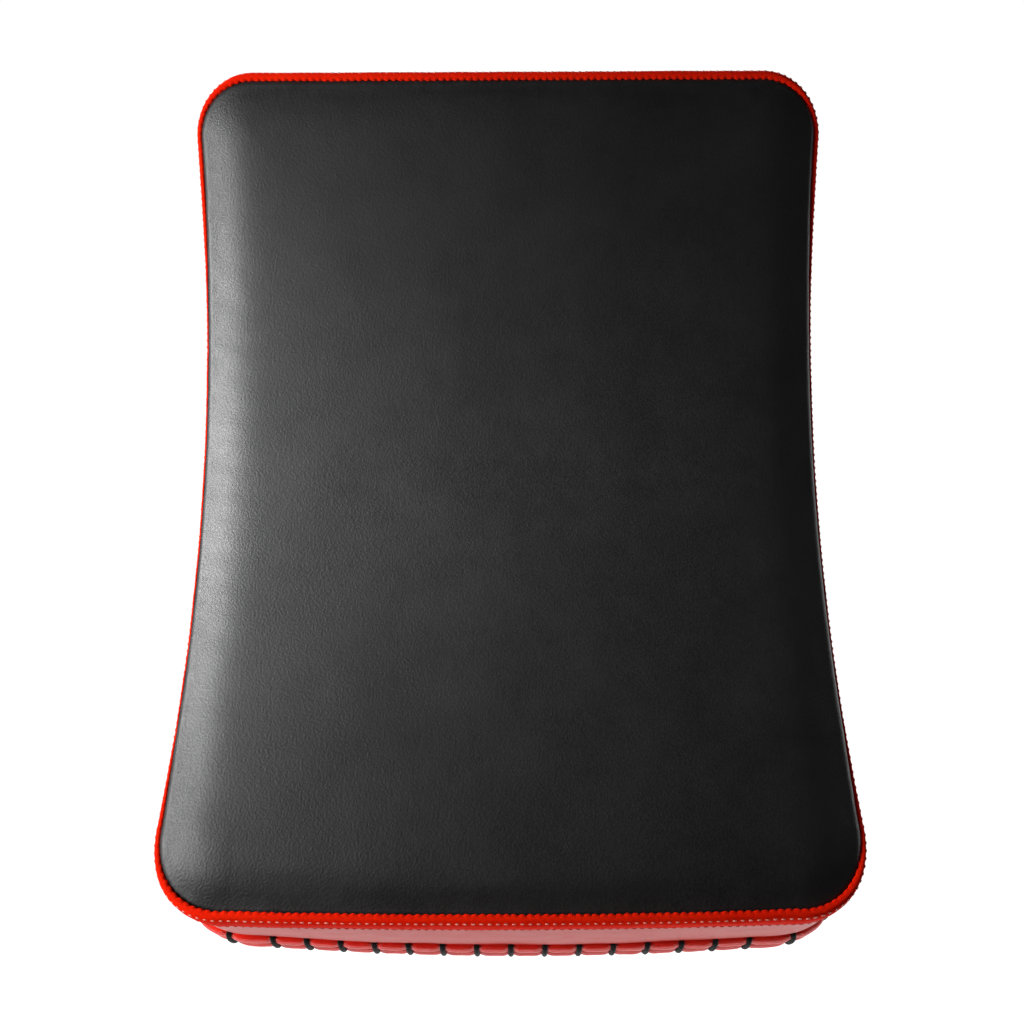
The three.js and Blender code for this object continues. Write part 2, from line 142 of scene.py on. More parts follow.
def outline(u):
    """The outline's points and outward normals, u metres round from the bottom's middle, +x side first."""
    half_width, half_length = PAD_WIDTH / 2, PAD_LENGTH / 2
    radii = [BOTTOM_CORNER, TOP_CORNER, TOP_CORNER, BOTTOM_CORNER]
    signs = [(1, -1), (1, 1), (-1, 1), (-1, -1)]
    x, s, nx, ns = np.zeros((4, len(u)))
    u = np.mod(u, OUTLINE)
    begin, place = 0.0, np.array([0.0, -half_length])
    for i in range(5):
        angle = math.radians(90 * i - 90)
        normal = np.array([math.cos(angle), math.sin(angle)])
        if i < 4:
            radius = radii[i]
            centre = np.array(signs[i]) * [half_width - radius, half_length - radius]
        else:
            radius, centre = 0.0, np.array([0.0, -half_length])
        corner_start = centre + normal * radius
        length = np.linalg.norm(corner_start - place)
        on = (u >= begin) & (u <= begin + length)
        share = (u[on] - begin) / max(length, 1e-9)
        x[on], s[on] = (place[:, None] + (corner_start - place)[:, None] * share)
        nx[on], ns[on] = normal
        begin += length
        if i < 4:
            quarter = radius * math.pi / 2
            on = (u > begin) & (u < begin + quarter)
            turn = angle + (u[on] - begin) / radius
            nx[on], ns[on] = np.cos(turn), np.sin(turn)
            x[on], s[on] = centre[0] + radius * nx[on], centre[1] + radius * ns[on]
            begin += quarter
            place = centre + radius * np.array([math.cos(angle + math.pi / 2), math.sin(angle + math.pi / 2)])
    return x, s, nx, ns


def fill_out(x, s, t):
    """The x and s of a place at depth t, with the bottom edge bowed out and the bottom corners squarer."""
    low = smoothstep((-s - 120 * MM) / (55 * MM))
    rear = smoothstep((t - 22 * MM) / (46 * MM))
    bow = FRONT_BOW + (REAR_BOW - FRONT_BOW) * rear
    fill = FRONT_FILL + (REAR_FILL - FRONT_FILL) * rear
    nx, ns = outward_normal(x, s)
    corner = 2 * nx * np.abs(ns) * (s < 0)
    share = (x - REAR_BOW_SHIFT * rear) / (PAD_WIDTH / 2)
    low_s = s - bow * low * (1 - 1.6 * share**2) - CORNER_DROP * np.abs(corner)
    return x * (1 - LOW_NARROWING * low) + fill * corner, low_s


def round_rim(u, out, t):
    """Lattice of points round the pad. Each profile point lies out beyond the outline, and t deep."""
    x, s, nx, ns = outline(u)
    out = np.broadcast_to(out, (len(u), np.shape(out)[-1]))
    t = np.broadcast_to(t, out.shape)
    x = x[:, None] + nx[:, None] * out
    s = s[:, None] + ns[:, None] * out
    return bend(*fill_out(x, s, t), t)


def fullness(nx, s):
    """How far the face swells over its binding: 0 along the top and bottom, 1 halfway up the sides."""
    return nx**2 * (0.45 + 0.55 * smoothstep((165 * MM - np.abs(s + 12 * MM)) / (70 * MM)))


def corner_radius(s):
    return np.where(np.asarray(s) > 0, TOP_CORNER, BOTTOM_CORNER)


def inside(x, s, half_width, half_length, radius):
    """How far inside a rectangle with round corners a place is."""
    dx = np.abs(x) - (half_width - radius)
    ds = np.abs(s) - (half_length - radius)
    return radius - np.hypot(np.maximum(dx, 0), np.maximum(ds, 0)) - np.minimum(np.maximum(dx, ds), 0)


def inside_outline(x, s):
    return inside(x, s, PAD_WIDTH / 2, PAD_LENGTH / 2, corner_radius(s))


def outward_normal(x, s):
    """The outline's outward normal nearest to a place."""
    radius = corner_radius(s)
    dx = np.abs(x) - (PAD_WIDTH / 2 - radius)
    ds = np.abs(s) - (PAD_LENGTH / 2 - radius)
    corner = (dx > 0) & (ds > 0)
    reach = np.maximum(np.hypot(dx, ds), 1e-9)
    nx = np.where(corner, dx / reach, dx > ds)
    ns = np.where(corner, ds / reach, dx <= ds)
    return np.sign(x) * nx, np.sign(s) * ns


def slope_away(distance, reach, slope, softness):
    """How deep a surface lies that slopes away within reach of the rim, with a soft start."""
    over = np.minimum((reach - np.maximum(distance, FACE_EDGE)) / softness, 30)
    return slope * softness * np.log1p(np.exp(over))


def face_shape(distance, full, low):
    """How far out and how deep the striking face lies, at a distance inside the outline. It slopes away,
    turns over the foam's edge and tucks in under the binding. full is the share of the sides' swell, and low
    is 1 along the bottom."""
    slope = slope_away(distance, CROWN_REACH, CROWN_SLOPE, 5 * MM)
    slope = slope + low * slope_away(distance, LOW_ROLL, LOW_SLOPE, 3 * MM)
    start = math.atan(CROWN_SLOPE)
    turn = start + np.clip(1 - distance / FACE_EDGE, 0, 1) * math.radians(91)
    around = FACE_EDGE * 1.2
    arc_out = around * (np.sin(turn) - math.sin(start)) - FACE_EDGE
    arc_deep = around * (math.cos(start) - np.cos(turn))
    out = np.where(distance < FACE_EDGE, arc_out, -distance)
    swell = FACE_SWELL * full * smoothstep((14 * MM - distance) / (14 * MM))
    return out + swell, slope + arc_deep


def smoothstep(x):
    x = np.clip(x, 0, 1)
    return x * x * (3 - 2 * x)


def hump(distance, width):
    """1 at no distance, falling off smoothly over width."""
    return np.exp(-((distance / width) ** 2))


def gap_to(stations, places):
    """How far each place is from the nearest station."""
    return np.min(np.abs(np.asarray(places)[..., None] - stations), axis=-1)


def ripple(points, size, seed=0.0):
    """Smooth noise, about -1 to 1, of the given feature size."""
    return np.array([noise.noise(Vector(p) / size + Vector((seed, seed, seed))) for p in points])


# ---------------------------------------------------------------- mesh making

def lattice(points, wrap_rows=False, wrap_columns=False, caps=False):
    """(vertices, faces) of a rows x columns lattice of points."""
    rows, columns = points.shape[:2]
    index = np.arange(rows * columns).reshape(rows, columns)
    down = np.vstack([index, index[:1]]) if wrap_rows else index
    full = np.hstack([down, down[:, :1]]) if wrap_columns else down
    quads = np.stack([full[:-1, :-1], full[:-1, 1:], full[1:, 1:], full[1:, :-1]], -1).reshape(-1, 4)
    faces = quads.tolist()
    if caps:
        faces.append(index[0].tolist())
        faces.append(index[-1][::-1].tolist())
    return points.reshape(-1, 3), faces


def lengths_along(line):
    return np.concatenate([[0], np.cumsum(np.linalg.norm(np.diff(line, axis=0), axis=1))])


def resample(points, count=None, step=None, closed=False):
    """Points evenly spaced along a line."""
    points = np.asarray(points, float)
    line = np.vstack([points, points[:1]]) if closed else points
    along = lengths_along(line)
    if count is None:
        count = max(2, round(along[-1] / step) + (0 if closed else 1))
    places = np.linspace(0, along[-1], count, endpoint=not closed)
    return np.column_stack([np.interp(places, along, line[:, i]) for i in range(line.shape[1])])


def tangents_of(points, closed=False):
    if closed:
        along = np.roll(points, -1, 0) - np.roll(points, 1, 0)
    else:
        along = np.gradient(points, axis=0)
    return along / np.linalg.norm(along, axis=1, keepdims=True)


def spline(points, count):
    """A smooth line through the given points."""
    p = np.asarray(points, float)
    p = np.vstack([2 * p[0] - p[1], p, 2 * p[-1] - p[-2]])
    made = []
    for i in range(1, len(p) - 2):
        share = np.linspace(0, 1, 12, endpoint=False)[:, None]
        a, b, c, d = p[i - 1 : i + 3]
        made.append(0.5 * (2 * b + (c - a) * share + (2 * a - 5 * b + 4 * c - d) * share**2
                           + (3 * b - a - 3 * c + d) * share**3))
    made.append(p[-2:-1])
    return resample(np.vstack(made), count)


def unit(vectors):
    return vectors / np.linalg.norm(vectors, axis=-1, keepdims=True)


def stitches(places, along, up, length=2.5 * MM, radius=0.42 * MM, lift=0.35 * MM):
    """One thread stitch at each place, bowed up out of the surface, with its ends sunk into it."""
    share = np.linspace(-1, 1, 7)
    angle = np.linspace(0, 2 * math.pi, 6, endpoint=False)
    girth = radius * np.sqrt(np.maximum(1 - share**4, 0.05))
    height = lift * (1 - share**2) - radius * 0.7
    along, up = unit(along), unit(up)
    side = np.cross(along, up)
    run = along[:, None] * (share * length / 2)[:, None]
    centre = places[:, None] + run + up[:, None] * height[:, None]
    ring = side[:, None, None] * np.cos(angle)[:, None] + up[:, None, None] * np.sin(angle)[:, None]
    points = centre[:, :, None] + ring * girth[:, None, None]
    vertices, faces = [], []
    for one in points:
        stitch_vertices, stitch_faces = lattice(one, wrap_columns=True, caps=True)
        first = len(vertices) * len(stitch_vertices)
        vertices.append(stitch_vertices)
        faces += [[first + i for i in face] for face in stitch_faces]
    return np.vstack(vertices), faces


def stitch_row(line, up, closed=False, pitch=STITCH_PITCH, **kind):
    """A row of stitches along a line; up is the surface's normal at each of its points."""
    rows = np.hstack([line, up])
    if closed:
        rows = np.vstack([rows, rows[:1]])
    along = lengths_along(rows[:, :3])
    count = max(2, round(along[-1] / pitch))
    places = (np.arange(count) + 0.5) * along[-1] / count
    even = np.column_stack([np.interp(places, along, rows[:, i]) for i in range(6)])
    return stitches(even[:, :3], tangents_of(even[:, :3], closed), even[:, 3:], **kind)


def rim_stitches(u, out, t, lean, closed=False, **kind):
    """A row of stitches along a line round the rim. lean is the surface's normal there, as (out, t)."""
    out, t = np.atleast_1d(out), np.atleast_1d(t)
    line = round_rim(u, out, t)[:, 0]
    above = round_rim(u, out + lean[0], t + lean[1])[:, 0]
    return stitch_row(line, unit(above - line), closed, **kind)


def piece(name, parts, body="root", nodes=(), matrix=None, smooth=True, free=False):
    """One object from (vertices, faces, material) parts. It rides on a body, unless it is free, when it is
    left unattached.
    """
    vertices, faces, owners, materials = [], [], [], []
    for part_vertices, part_faces, material in parts:
        first = sum(len(v) for v in vertices)
        vertices.append(np.asarray(part_vertices, float))
        faces += [[first + i for i in face] for face in part_faces]
        each = material if isinstance(material, list) else [material] * len(part_faces)
        materials += [one for one in dict.fromkeys(each) if one not in materials]
        owners += [materials.index(one) for one in each]
    points = np.vstack(vertices)
    if matrix is not None:
        points = in_frame(matrix, points)
    mesh = bpy.data.meshes.new(name)
    mesh.from_pydata(points.tolist(), [], faces)
    for material in materials:
        mesh.materials.append(material)
    mesh.polygons.foreach_set("material_index", owners)
    outward(mesh)
    mesh.polygons.foreach_set("use_smooth", [smooth] * len(mesh.polygons))
    obj = bpy.data.objects.new(name, mesh)
    bpy.context.scene.collection.objects.link(obj)
    if not free:
        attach(obj, body)
    if nodes:
        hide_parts(*nodes)
    return obj


def outward(mesh):
    shape = bmesh.new()
    shape.from_mesh(mesh)
    bmesh.ops.recalc_face_normals(shape, faces=shape.faces)
    shape.to_mesh(mesh)
    shape.free()


def bake(obj, kind, **settings):
    """Adds one modifier and applies it."""
    modifier = obj.modifiers.new("step", kind)
    for key, value in settings.items():
        setattr(modifier, key, value)
    graph = bpy.context.evaluated_depsgraph_get()
    mesh = bpy.data.meshes.new_from_object(obj.evaluated_get(graph))
    obj.modifiers.clear()
    obj.data = mesh
    return obj


def inflate(points, faces, pinned, pressure, cap, stiffness=15.0, frames=16):
    """Blows a sheet or shell up as cloth with its pinned vertices held. No point moves further than cap."""
    mesh = bpy.data.meshes.new("sim")
    mesh.from_pydata(points.tolist(), [], faces)
    obj = bpy.data.objects.new("sim", mesh)
    bpy.context.scene.collection.objects.link(obj)
    group = obj.vertex_groups.new(name="held")
    group.add([int(i) for i in np.flatnonzero(pinned)], 1.0, "REPLACE")
    cloth = obj.modifiers.new("cloth", "CLOTH").settings
    cloth.quality = 4
    cloth.mass = 0.4
    cloth.tension_stiffness = stiffness
    cloth.compression_stiffness = stiffness
    cloth.bending_stiffness = 1.0
    cloth.vertex_group_mass = "held"
    cloth.use_pressure = True
    cloth.uniform_pressure_force = pressure
    cloth.effector_weights.gravity = 0
    scene = bpy.context.scene
    for number in range(1, frames + 1):
        scene.frame_set(number)
    graph = bpy.context.evaluated_depsgraph_get()
    evaluated = obj.evaluated_get(graph).data
    moved = np.empty(len(points) * 3)
    evaluated.vertices.foreach_get("co", moved)
    shift = moved.reshape(-1, 3) - points
    size = np.linalg.norm(shift, axis=1, keepdims=True)
    shift *= cap * np.tanh(size / cap) / np.maximum(size, 1e-9)
    bpy.data.objects.remove(obj)
    bpy.data.meshes.remove(mesh)
    scene.frame_set(1)
    return points + shift


# ---------------------------------------------------------------- materials

class Shader:
    """A procedural material: nodes are added by type, and values go on the shader's own sockets."""

    def __init__(self, name, colour, roughness, metallic=0.0, **values):
        self.material = bpy.data.materials.new(name)
        self.material.use_nodes = True
        self.tree = self.material.node_tree
        self.surface = self.tree.nodes["Principled BSDF"]
        self.set("Base Color", (*colour, 1))
        self.set("Roughness", roughness)
        self.set("Metallic", metallic)
        for key, value in values.items():
            self.set(key.replace("_", " "), value)
        self.place = self.node("ShaderNodeTexCoord").outputs["Object"]

    def set(self, socket, value):
        self.surface.inputs[socket].default_value = value

    def node(self, kind, values=None, **settings):
        made = self.tree.nodes.new(kind)
        for key, value in settings.items():
            setattr(made, key, value)
        for key, value in (values or {}).items():
            made.inputs[key].default_value = value
        return made

    def link(self, output, target):
        self.tree.links.new(output, target)

    def texture(self, kind, output, values, **settings):
        made = self.node(kind, values, **settings)
        self.link(self.place, made.inputs["Vector"])
        return made.outputs[output]

    def noise(self, size, detail=3.0, roughness=0.55):
        values = {"Scale": 1 / size, "Detail": detail, "Roughness": roughness}
        return self.texture("ShaderNodeTexNoise", "Fac", values)

    def cells(self, size, feature="F1", randomness=1.0):
        values = {"Scale": 1 / size, "Randomness": randomness}
        return self.texture("ShaderNodeTexVoronoi", "Distance", values, feature=feature)

    def waves(self, size, direction, distortion=0.0):
        """Bands of the given width. A wave texture of scale 1 has 20 / (2 pi) bands in a metre."""
        values = {"Scale": 1 / size / 20 * 2 * math.pi, "Distortion": distortion}
        return self.texture("ShaderNodeTexWave", "Fac", values, bands_direction=direction)

    def remap(self, source, low, high, to_low, to_high):
        values = {"From Min": low, "From Max": high, "To Min": to_low, "To Max": to_high}
        made = self.node("ShaderNodeMapRange", values)
        self.link(source, made.inputs["Value"])
        return made.outputs["Result"]

    def math(self, operation, a, b):
        made = self.node("ShaderNodeMath", operation=operation)
        for i, source in enumerate((a, b)):
            if isinstance(source, (int, float)):
                made.inputs[i].default_value = source
            else:
                self.link(source, made.inputs[i])
        return made.outputs[0]

    def colours(self, factor, *stops):
        """Base colour from a ramp of (position, colour) stops."""
        ramp = self.node("ShaderNodeValToRGB")
        elements = ramp.color_ramp.elements
        while len(elements) < len(stops):
            elements.new(0.5)
        for element, (position, colour) in zip(elements, stops):
            element.position = position
            element.color = (*colour, 1)
        self.link(factor, ramp.inputs["Fac"])
        self.link(ramp.outputs["Color"], self.surface.inputs["Base Color"])

    def rough(self, source):
        self.link(source, self.surface.inputs["Roughness"])

    def bump(self, *layers):
        """Bump from (height, depth in metres, strength) layers, one on top of the other."""
        normal = None
        for height, depth, strength in layers:
            made = self.node("ShaderNodeBump", {"Strength": strength, "Distance": depth})
            self.link(height, made.inputs["Height"])
            if normal is not None:
                self.link(normal, made.inputs["Normal"])
            normal = made.outputs["Normal"]
        self.link(normal, self.surface.inputs["Normal"])


def leather(name, dark, light, roughness, grain=1.3 * MM, depth=0.10 * MM, **values):
    """Fine-grained leather: pebbles between creases, with a slow change of colour and shine."""
    shader = Shader(name, dark, roughness, **values)
    pebbles = shader.cells(grain, "SMOOTH_F1")
    fine = shader.noise(grain * 0.35, 2)
    slow = shader.noise(38 * MM, 4)
    patches = shader.noise(9 * MM, 3)
    flecks = shader.noise(grain * 0.9, 2)
    broad = shader.math("ADD", shader.math("MULTIPLY", slow, 0.6), shader.math("MULTIPLY", patches, 0.4))
    tone = shader.math("ADD", shader.math("MULTIPLY", broad, 0.45), shader.math("MULTIPLY", flecks, 0.55))
    shader.colours(tone, (0.36, dark), (0.66, light))
    shader.rough(shader.remap(tone, 0.3, 0.7, roughness - 0.05, roughness + 0.07))
    shader.bump((slow, 0.4 * MM, 0.12), (pebbles, depth, 0.75), (fine, depth * 0.5, 0.5))
    return shader.material


def grey(value, blue=0.0):
    return value, value, value + blue


def make_materials():
    return {
        "face": leather("black_face_leather", grey(0.0064, 0.0003), grey(0.0150, 0.0006), 0.50, 0.9 * MM,
                        0.13 * MM),
        "black": leather("black_leather", grey(0.0095, 0.0005), grey(0.016, 0.001), 0.43),
        "red": leather("red_binding_leather", (0.78, 0.010, 0.002), (0.92, 0.020, 0.003), 0.60, 1.0 * MM,
                       0.07 * MM, IOR=1.06, Specular_IOR_Level=0.3),
        "roll": leather("red_roll_leather", (0.80, 0.010, 0.003), (0.94, 0.020, 0.005), 0.33, 1.0 * MM,
                        0.07 * MM, Specular_IOR_Level=0.4),
        "gusset": leather("red_gusset_leather", (0.52, 0.016, 0.008), (0.62, 0.024, 0.012), 0.38, 1.2 * MM,
                          0.07 * MM, IOR=1.22),
        "edge": leather("cut_leather_edge", (0.02, 0.016, 0.013), (0.035, 0.028, 0.022), 0.75, 0.5 * MM,
                        0.12 * MM),
        "red_thread": thread("red_thread", (0.58, 0.015, 0.006), (0.70, 0.03, 0.012)),
        "pale_thread": thread("pale_thread", (0.80, 0.20, 0.15), (0.88, 0.34, 0.27)),
        "black_thread": thread("black_thread", grey(0.02, 0.001), grey(0.05, 0.002)),
        "cord": waxed_cord("waxed_cord"),
        "lining": knit("strap_lining_knit", grey(0.016, 0.002), grey(0.032, 0.003)),
        "loop": fuzz("loop_pile", grey(0.006, 0.001), grey(0.020, 0.001)),
        "hook": hooks("hook_tape"),
        "steel": plated("nickel_plate"),
        "firm_foam": foam("firm_foam_cells", (0.04, 0.042, 0.046), (0.07, 0.073, 0.078), 0.7 * MM),
        "soft_foam": foam("soft_foam_cells", (0.45, 0.42, 0.33), (0.62, 0.58, 0.48), 1.4 * MM),
        "board": fibreboard("fibreboard"),
    }


def thread(name, dark, light):
    shader = Shader(name, dark, 0.55, Sheen_Weight=0.2)
    shader.colours(shader.noise(1.1 * MM, 2), (0.3, dark), (0.7, light))
    shader.bump((shader.cells(0.25 * MM), 0.06 * MM, 0.6))
    return shader.material


def waxed_cord(name):
    shader = Shader(name, grey(0.006), 0.6, Specular_IOR_Level=0.05)
    weave = shader.cells(0.75 * MM, "SMOOTH_F1", randomness=0.5)
    shader.colours(weave, (0.1, (0.010, 0.011, 0.010)), (0.8, grey(0.002)))
    shader.rough(shader.remap(weave, 0, 1, 0.42, 0.62))
    shader.bump((weave, 0.22 * MM, 0.9))
    return shader.material


def knit(name, dark, light):
    shader = Shader(name, dark, 0.85, Sheen_Weight=0.35, Sheen_Roughness=0.5)
    mesh = shader.math("MULTIPLY", shader.waves(0.9 * MM, "X"), shader.waves(0.9 * MM, "Z", 0.4))
    shader.colours(mesh, (0.0, dark), (0.8, light))
    shader.bump((mesh, 0.25 * MM, 0.7), (shader.noise(0.5 * MM, 2), 0.1 * MM, 0.4))
    return shader.material


def fuzz(name, dark, light):
    shader = Shader(name, dark, 0.95, Sheen_Weight=0.6, Sheen_Roughness=0.6)
    pile = shader.noise(0.7 * MM, 4, 0.7)
    shader.colours(pile, (0.3, dark), (0.75, light))
    shader.bump((pile, 0.5 * MM, 0.9))
    return shader.material


def hooks(name):
    shader = Shader(name, grey(0.008, 0.001), 0.7)
    dots = shader.cells(0.95 * MM, randomness=0.15)
    shader.colours(dots, (0.1, grey(0.045, 0.002)), (0.5, grey(0.004)))
    shader.bump((shader.math("SUBTRACT", 1.0, dots), 0.5 * MM, 1.0))
    return shader.material


def plated(name):
    shader = Shader(name, (0.62, 0.61, 0.59), 0.22, 1.0)
    haze = shader.noise(7 * MM, 4)
    shader.colours(haze, (0.3, (0.55, 0.54, 0.52)), (0.7, (0.70, 0.69, 0.67)))
    shader.rough(shader.remap(haze, 0.3, 0.7, 0.16, 0.32))
    shader.bump((shader.noise(0.5 * MM, 2), 0.02 * MM, 0.4))
    return shader.material


def foam(name, dark, light, size):
    shader = Shader(name, dark, 0.92)
    bubbles = shader.cells(size)
    shader.colours(bubbles, (0.1, dark), (0.6, light))
    shader.bump((bubbles, 0.3 * MM, 0.8))
    return shader.material


def fibreboard(name):
    shader = Shader(name, (0.20, 0.12, 0.06), 0.8)
    fibres = shader.noise(2.5 * MM, 6, 0.7)
    shader.colours(fibres, (0.3, (0.15, 0.09, 0.045)), (0.7, (0.30, 0.20, 0.11)))
    shader.bump((fibres, 0.1 * MM, 0.6))
    return shader.material


LOOKS = make_materials()


# ---------------------------------------------------------------- camera, lights and floor

CAMERA_OFFSET = 1.9 * MM
CAMERA_DISTANCE = 409.2 * MM
CAMERA_HEIGHT = -87.6 * MM
CAMERA_TILT = 9.81
CAMERA_TURN = 0.08
CAMERA_ROLL = -0.22
CAMERA_LENS = 30.17
FLOOR_Z = -0.62
FLOOR_GLOW = 1.08
BACKDROP_LIGHT = 1.05
WORLD_LIGHT = 0.03


def add_object(name, data):
    made = bpy.data.objects.new(name, data)
    bpy.context.scene.collection.objects.link(made)
    return made


def make_camera():
    data = bpy.data.cameras.new("camera")
    data.lens = CAMERA_LENS
    data.sensor_width = 36
    data.clip_start = 0.01
    camera = add_object("camera", data)
    camera.location = (CAMERA_OFFSET, FACE_Y - CAMERA_DISTANCE, CAMERA_HEIGHT)
    turn = Matrix.Rotation(math.radians(CAMERA_TURN), 4, "Z")
    tilt = Matrix.Rotation(math.radians(90 + CAMERA_TILT), 4, "X")
    roll = Matrix.Rotation(math.radians(CAMERA_ROLL), 4, "Z")
    camera.rotation_euler = (turn @ tilt @ roll).to_euler()
    bpy.context.scene.camera = camera


def lamp(name, kind, location, target, watts, **settings):
    data = bpy.data.lights.new(name, kind)
    data.energy = watts
    for key, value in settings.items():
        setattr(data, key, value)
    light = add_object(name, data)
    light.location = location
    light.rotation_euler = (Vector(target) - Vector(location)).to_track_quat("-Z", "Y").to_euler()
    return light


def softbox(name, location, target, size, watts):
    light = lamp(name, "AREA", location, target, watts, shape="RECTANGLE", size=size[0], size_y=size[1])
    light.visible_camera = False


def make_lights():
    middle = (0, FACE_Y, 0)
    softbox("key_left", (-0.62, -0.42, 0.04), middle, (0.25, 0.45), 5.0)
    lamp("key_spot", "SPOT", (-0.62, -0.47, 0.06), (-0.14, FACE_Y, 0.0), 37, spot_size=math.radians(35),
         spot_blend=1.0, shadow_soft_size=0.14)
    softbox("top", (0.0, 0.05, 1.1), middle, (1.2, 0.5), 5)
    softbox("under", (0.0, -0.09, -0.58), (0, -0.05, -0.2), (1.2, 0.16), 1.7)
    softbox("right_rim", (0.9, 0.10, 0.0), (0.15, -0.08, 0), (0.2, 0.9), 2.0)
    softbox("back_left", (-0.7, 1.1, 0.6), (0, 0, 0), (0.8, 0.8), 8)
    softbox("back_right", (0.9, 0.9, 0.3), (0, 0, 0), (0.6, 1.0), 4)


def make_floor():
    """A pale floor behind and below the pad. It glows, so that it is as white as the backdrop."""
    shader = Shader("pale_floor", grey(0.5), 0.9, Specular_IOR_Level=0.0)
    shader.set("Emission Color", (1, 1, 1, 1))
    shader.set("Emission Strength", FLOOR_GLOW)
    half, near, far = 14.0, 0.10, 20.0
    corners = [(-half, near, FLOOR_Z), (half, near, FLOOR_Z), (half, far, FLOOR_Z), (-half, far, FLOOR_Z)]
    mesh = bpy.data.meshes.new("floor")
    mesh.from_pydata(corners, [], [(0, 1, 2, 3)])
    mesh.materials.append(shader.material)
    add_object("floor", mesh)


def make_world():
    """Dim light from all round, and a white backdrop that only the camera sees."""
    world = bpy.data.worlds.new("studio")
    world.use_nodes = True
    tree = world.node_tree
    dim, white = tree.nodes["Background"], tree.nodes.new("ShaderNodeBackground")
    for background, strength in ((dim, WORLD_LIGHT), (white, BACKDROP_LIGHT)):
        background.inputs["Color"].default_value = (1, 1, 1, 1)
        background.inputs["Strength"].default_value = strength
    path = tree.nodes.new("ShaderNodeLightPath")
    mix = tree.nodes.new("ShaderNodeMixShader")
    tree.links.new(path.outputs["Is Camera Ray"], mix.inputs["Fac"])
    tree.links.new(dim.outputs[0], mix.inputs[1])
    tree.links.new(white.outputs[0], mix.inputs[2])
    tree.links.new(mix.outputs[0], tree.nodes["World Output"].inputs["Surface"])
    scene = bpy.context.scene
    scene.world = world
    scene.view_settings.view_transform = "Standard"
    scene.view_settings.look = "None"


make_camera()
make_floor()
make_world()
make_lights()


# ---------------------------------------------------------------- the block: face, side wall and back panel

def rounded_sheet(half_width, half_length, low_radius, high_radius, step):
    """x and s of a grid that fills a rectangle with round corners. Its rows run across."""
    angles = np.radians(np.arange(90, 0, -11.25))

    def corner_rows(radius):
        return half_length - radius + radius * np.sin(angles), half_width - radius + radius * np.cos(angles)

    low_s, low_reach = corner_rows(low_radius)
    high_s, high_reach = corner_rows(high_radius)
    middle = np.linspace(low_radius - half_length, half_length - high_radius, round(2 * half_length / step))
    rows = np.concatenate([-low_s, middle, high_s[::-1]])
    reach = np.concatenate([low_reach, np.full(len(middle), half_width), high_reach[::-1]])
    across = np.linspace(-1, 1, round(2 * half_width / step) + 1)
    return reach[:, None] * across[None, :], np.repeat(rows[:, None], len(across), axis=1)


def outline_sheet(edge, step):
    """A sheet that ends the given distance inside the outline."""
    half_width, half_length = PAD_WIDTH / 2 - edge, PAD_LENGTH / 2 - edge
    return rounded_sheet(half_width, half_length, BOTTOM_CORNER - edge, TOP_CORNER - edge, step)


def unbend(points):
    """The x, s and t of points in space."""
    radial = np.hypot(points[:, 1] - FACE_Y + FACE_RADIUS, points[:, 2])
    angle = np.arctan2(points[:, 2], points[:, 1] - FACE_Y + FACE_RADIUS)
    return points[:, 0], angle * FACE_RADIUS, radial - FACE_RADIUS


def get_points(obj):
    points = np.empty(len(obj.data.vertices) * 3)
    obj.data.vertices.foreach_get("co", points)
    return points.reshape(-1, 3)


def set_points(obj, points):
    obj.data.vertices.foreach_set("co", np.ascontiguousarray(points).ravel())
    obj.data.update()


def skin(name, points, material, nodes, thickness, into, detail, levels=2):
    """A black leather sheet from a lattice: subdivided, given its fine shape, and thickened towards into."""
    vertices, faces = lattice(points)
    obj = piece(name, [(vertices, faces, material)], "root", nodes)
    bake(obj, "SUBSURF", levels=levels, render_levels=levels, boundary_smooth="PRESERVE_CORNERS")
    set_points(obj, detail(get_points(obj)))
    along = sum(polygon.normal.dot(into) for polygon in obj.data.polygons)
    bake(obj, "SOLIDIFY", thickness=thickness, offset=1 if along > 0 else -1)
    outward(obj.data)
    return obj


def build_face():
    """The striking face: crowned towards its rim, with slow swells, and puckered along its seam."""
    x, s = outline_sheet(0.2 * MM, 5 * MM)
    distance = inside_outline(x, s)
    flat, faces = lattice(bend(x, s, 0.0))
    held = distance.ravel() < 7 * MM
    blown = inflate(flat, faces, held, pressure=4, cap=0.9 * MM)

    def detail(points):
        x, s, t = unbend(points)
        distance = inside_outline(x, s)
        nx, ns = outward_normal(x, s)
        out, deep = face_shape(distance, fullness(nx, s), np.clip(-ns, 0, 1) ** 2)
        shift = out + distance
        swell = ripple(points, 75 * MM, 3.1) * 0.50 * MM + ripple(points, 27 * MM, 8.4) * 0.10 * MM
        crease = ripple(points * [0.4, 1, 1], 9 * MM, 1.7) * 0.14 * MM * hump(distance - 13 * MM, 9 * MM)
        pucker = ripple(points, 6 * MM, 5.2) * 0.26 * MM * np.exp(-np.maximum(distance, 0) / (5 * MM))
        t = t + deep + (swell + crease) * smoothstep(distance / (14 * MM)) + pucker
        return bend(*fill_out(x + nx * shift, s + ns * shift, t), t)

    obj = skin("strike_cover_leather", blown.reshape(*x.shape, 3), LOOKS["face"], ["strike_cover"], 1.5 * MM,
               Vector((0, 1, 0)), detail, levels=3)


def laced(u):
    """1 in the laced opening along the bottom, 0 outside it, with a short slope between."""
    from_bottom = np.abs((np.asarray(u) + OUTLINE / 2) % OUTLINE - OUTLINE / 2)
    return 1 - smoothstep((from_bottom - LACED_HALF + 6 * MM) / (12 * MM))


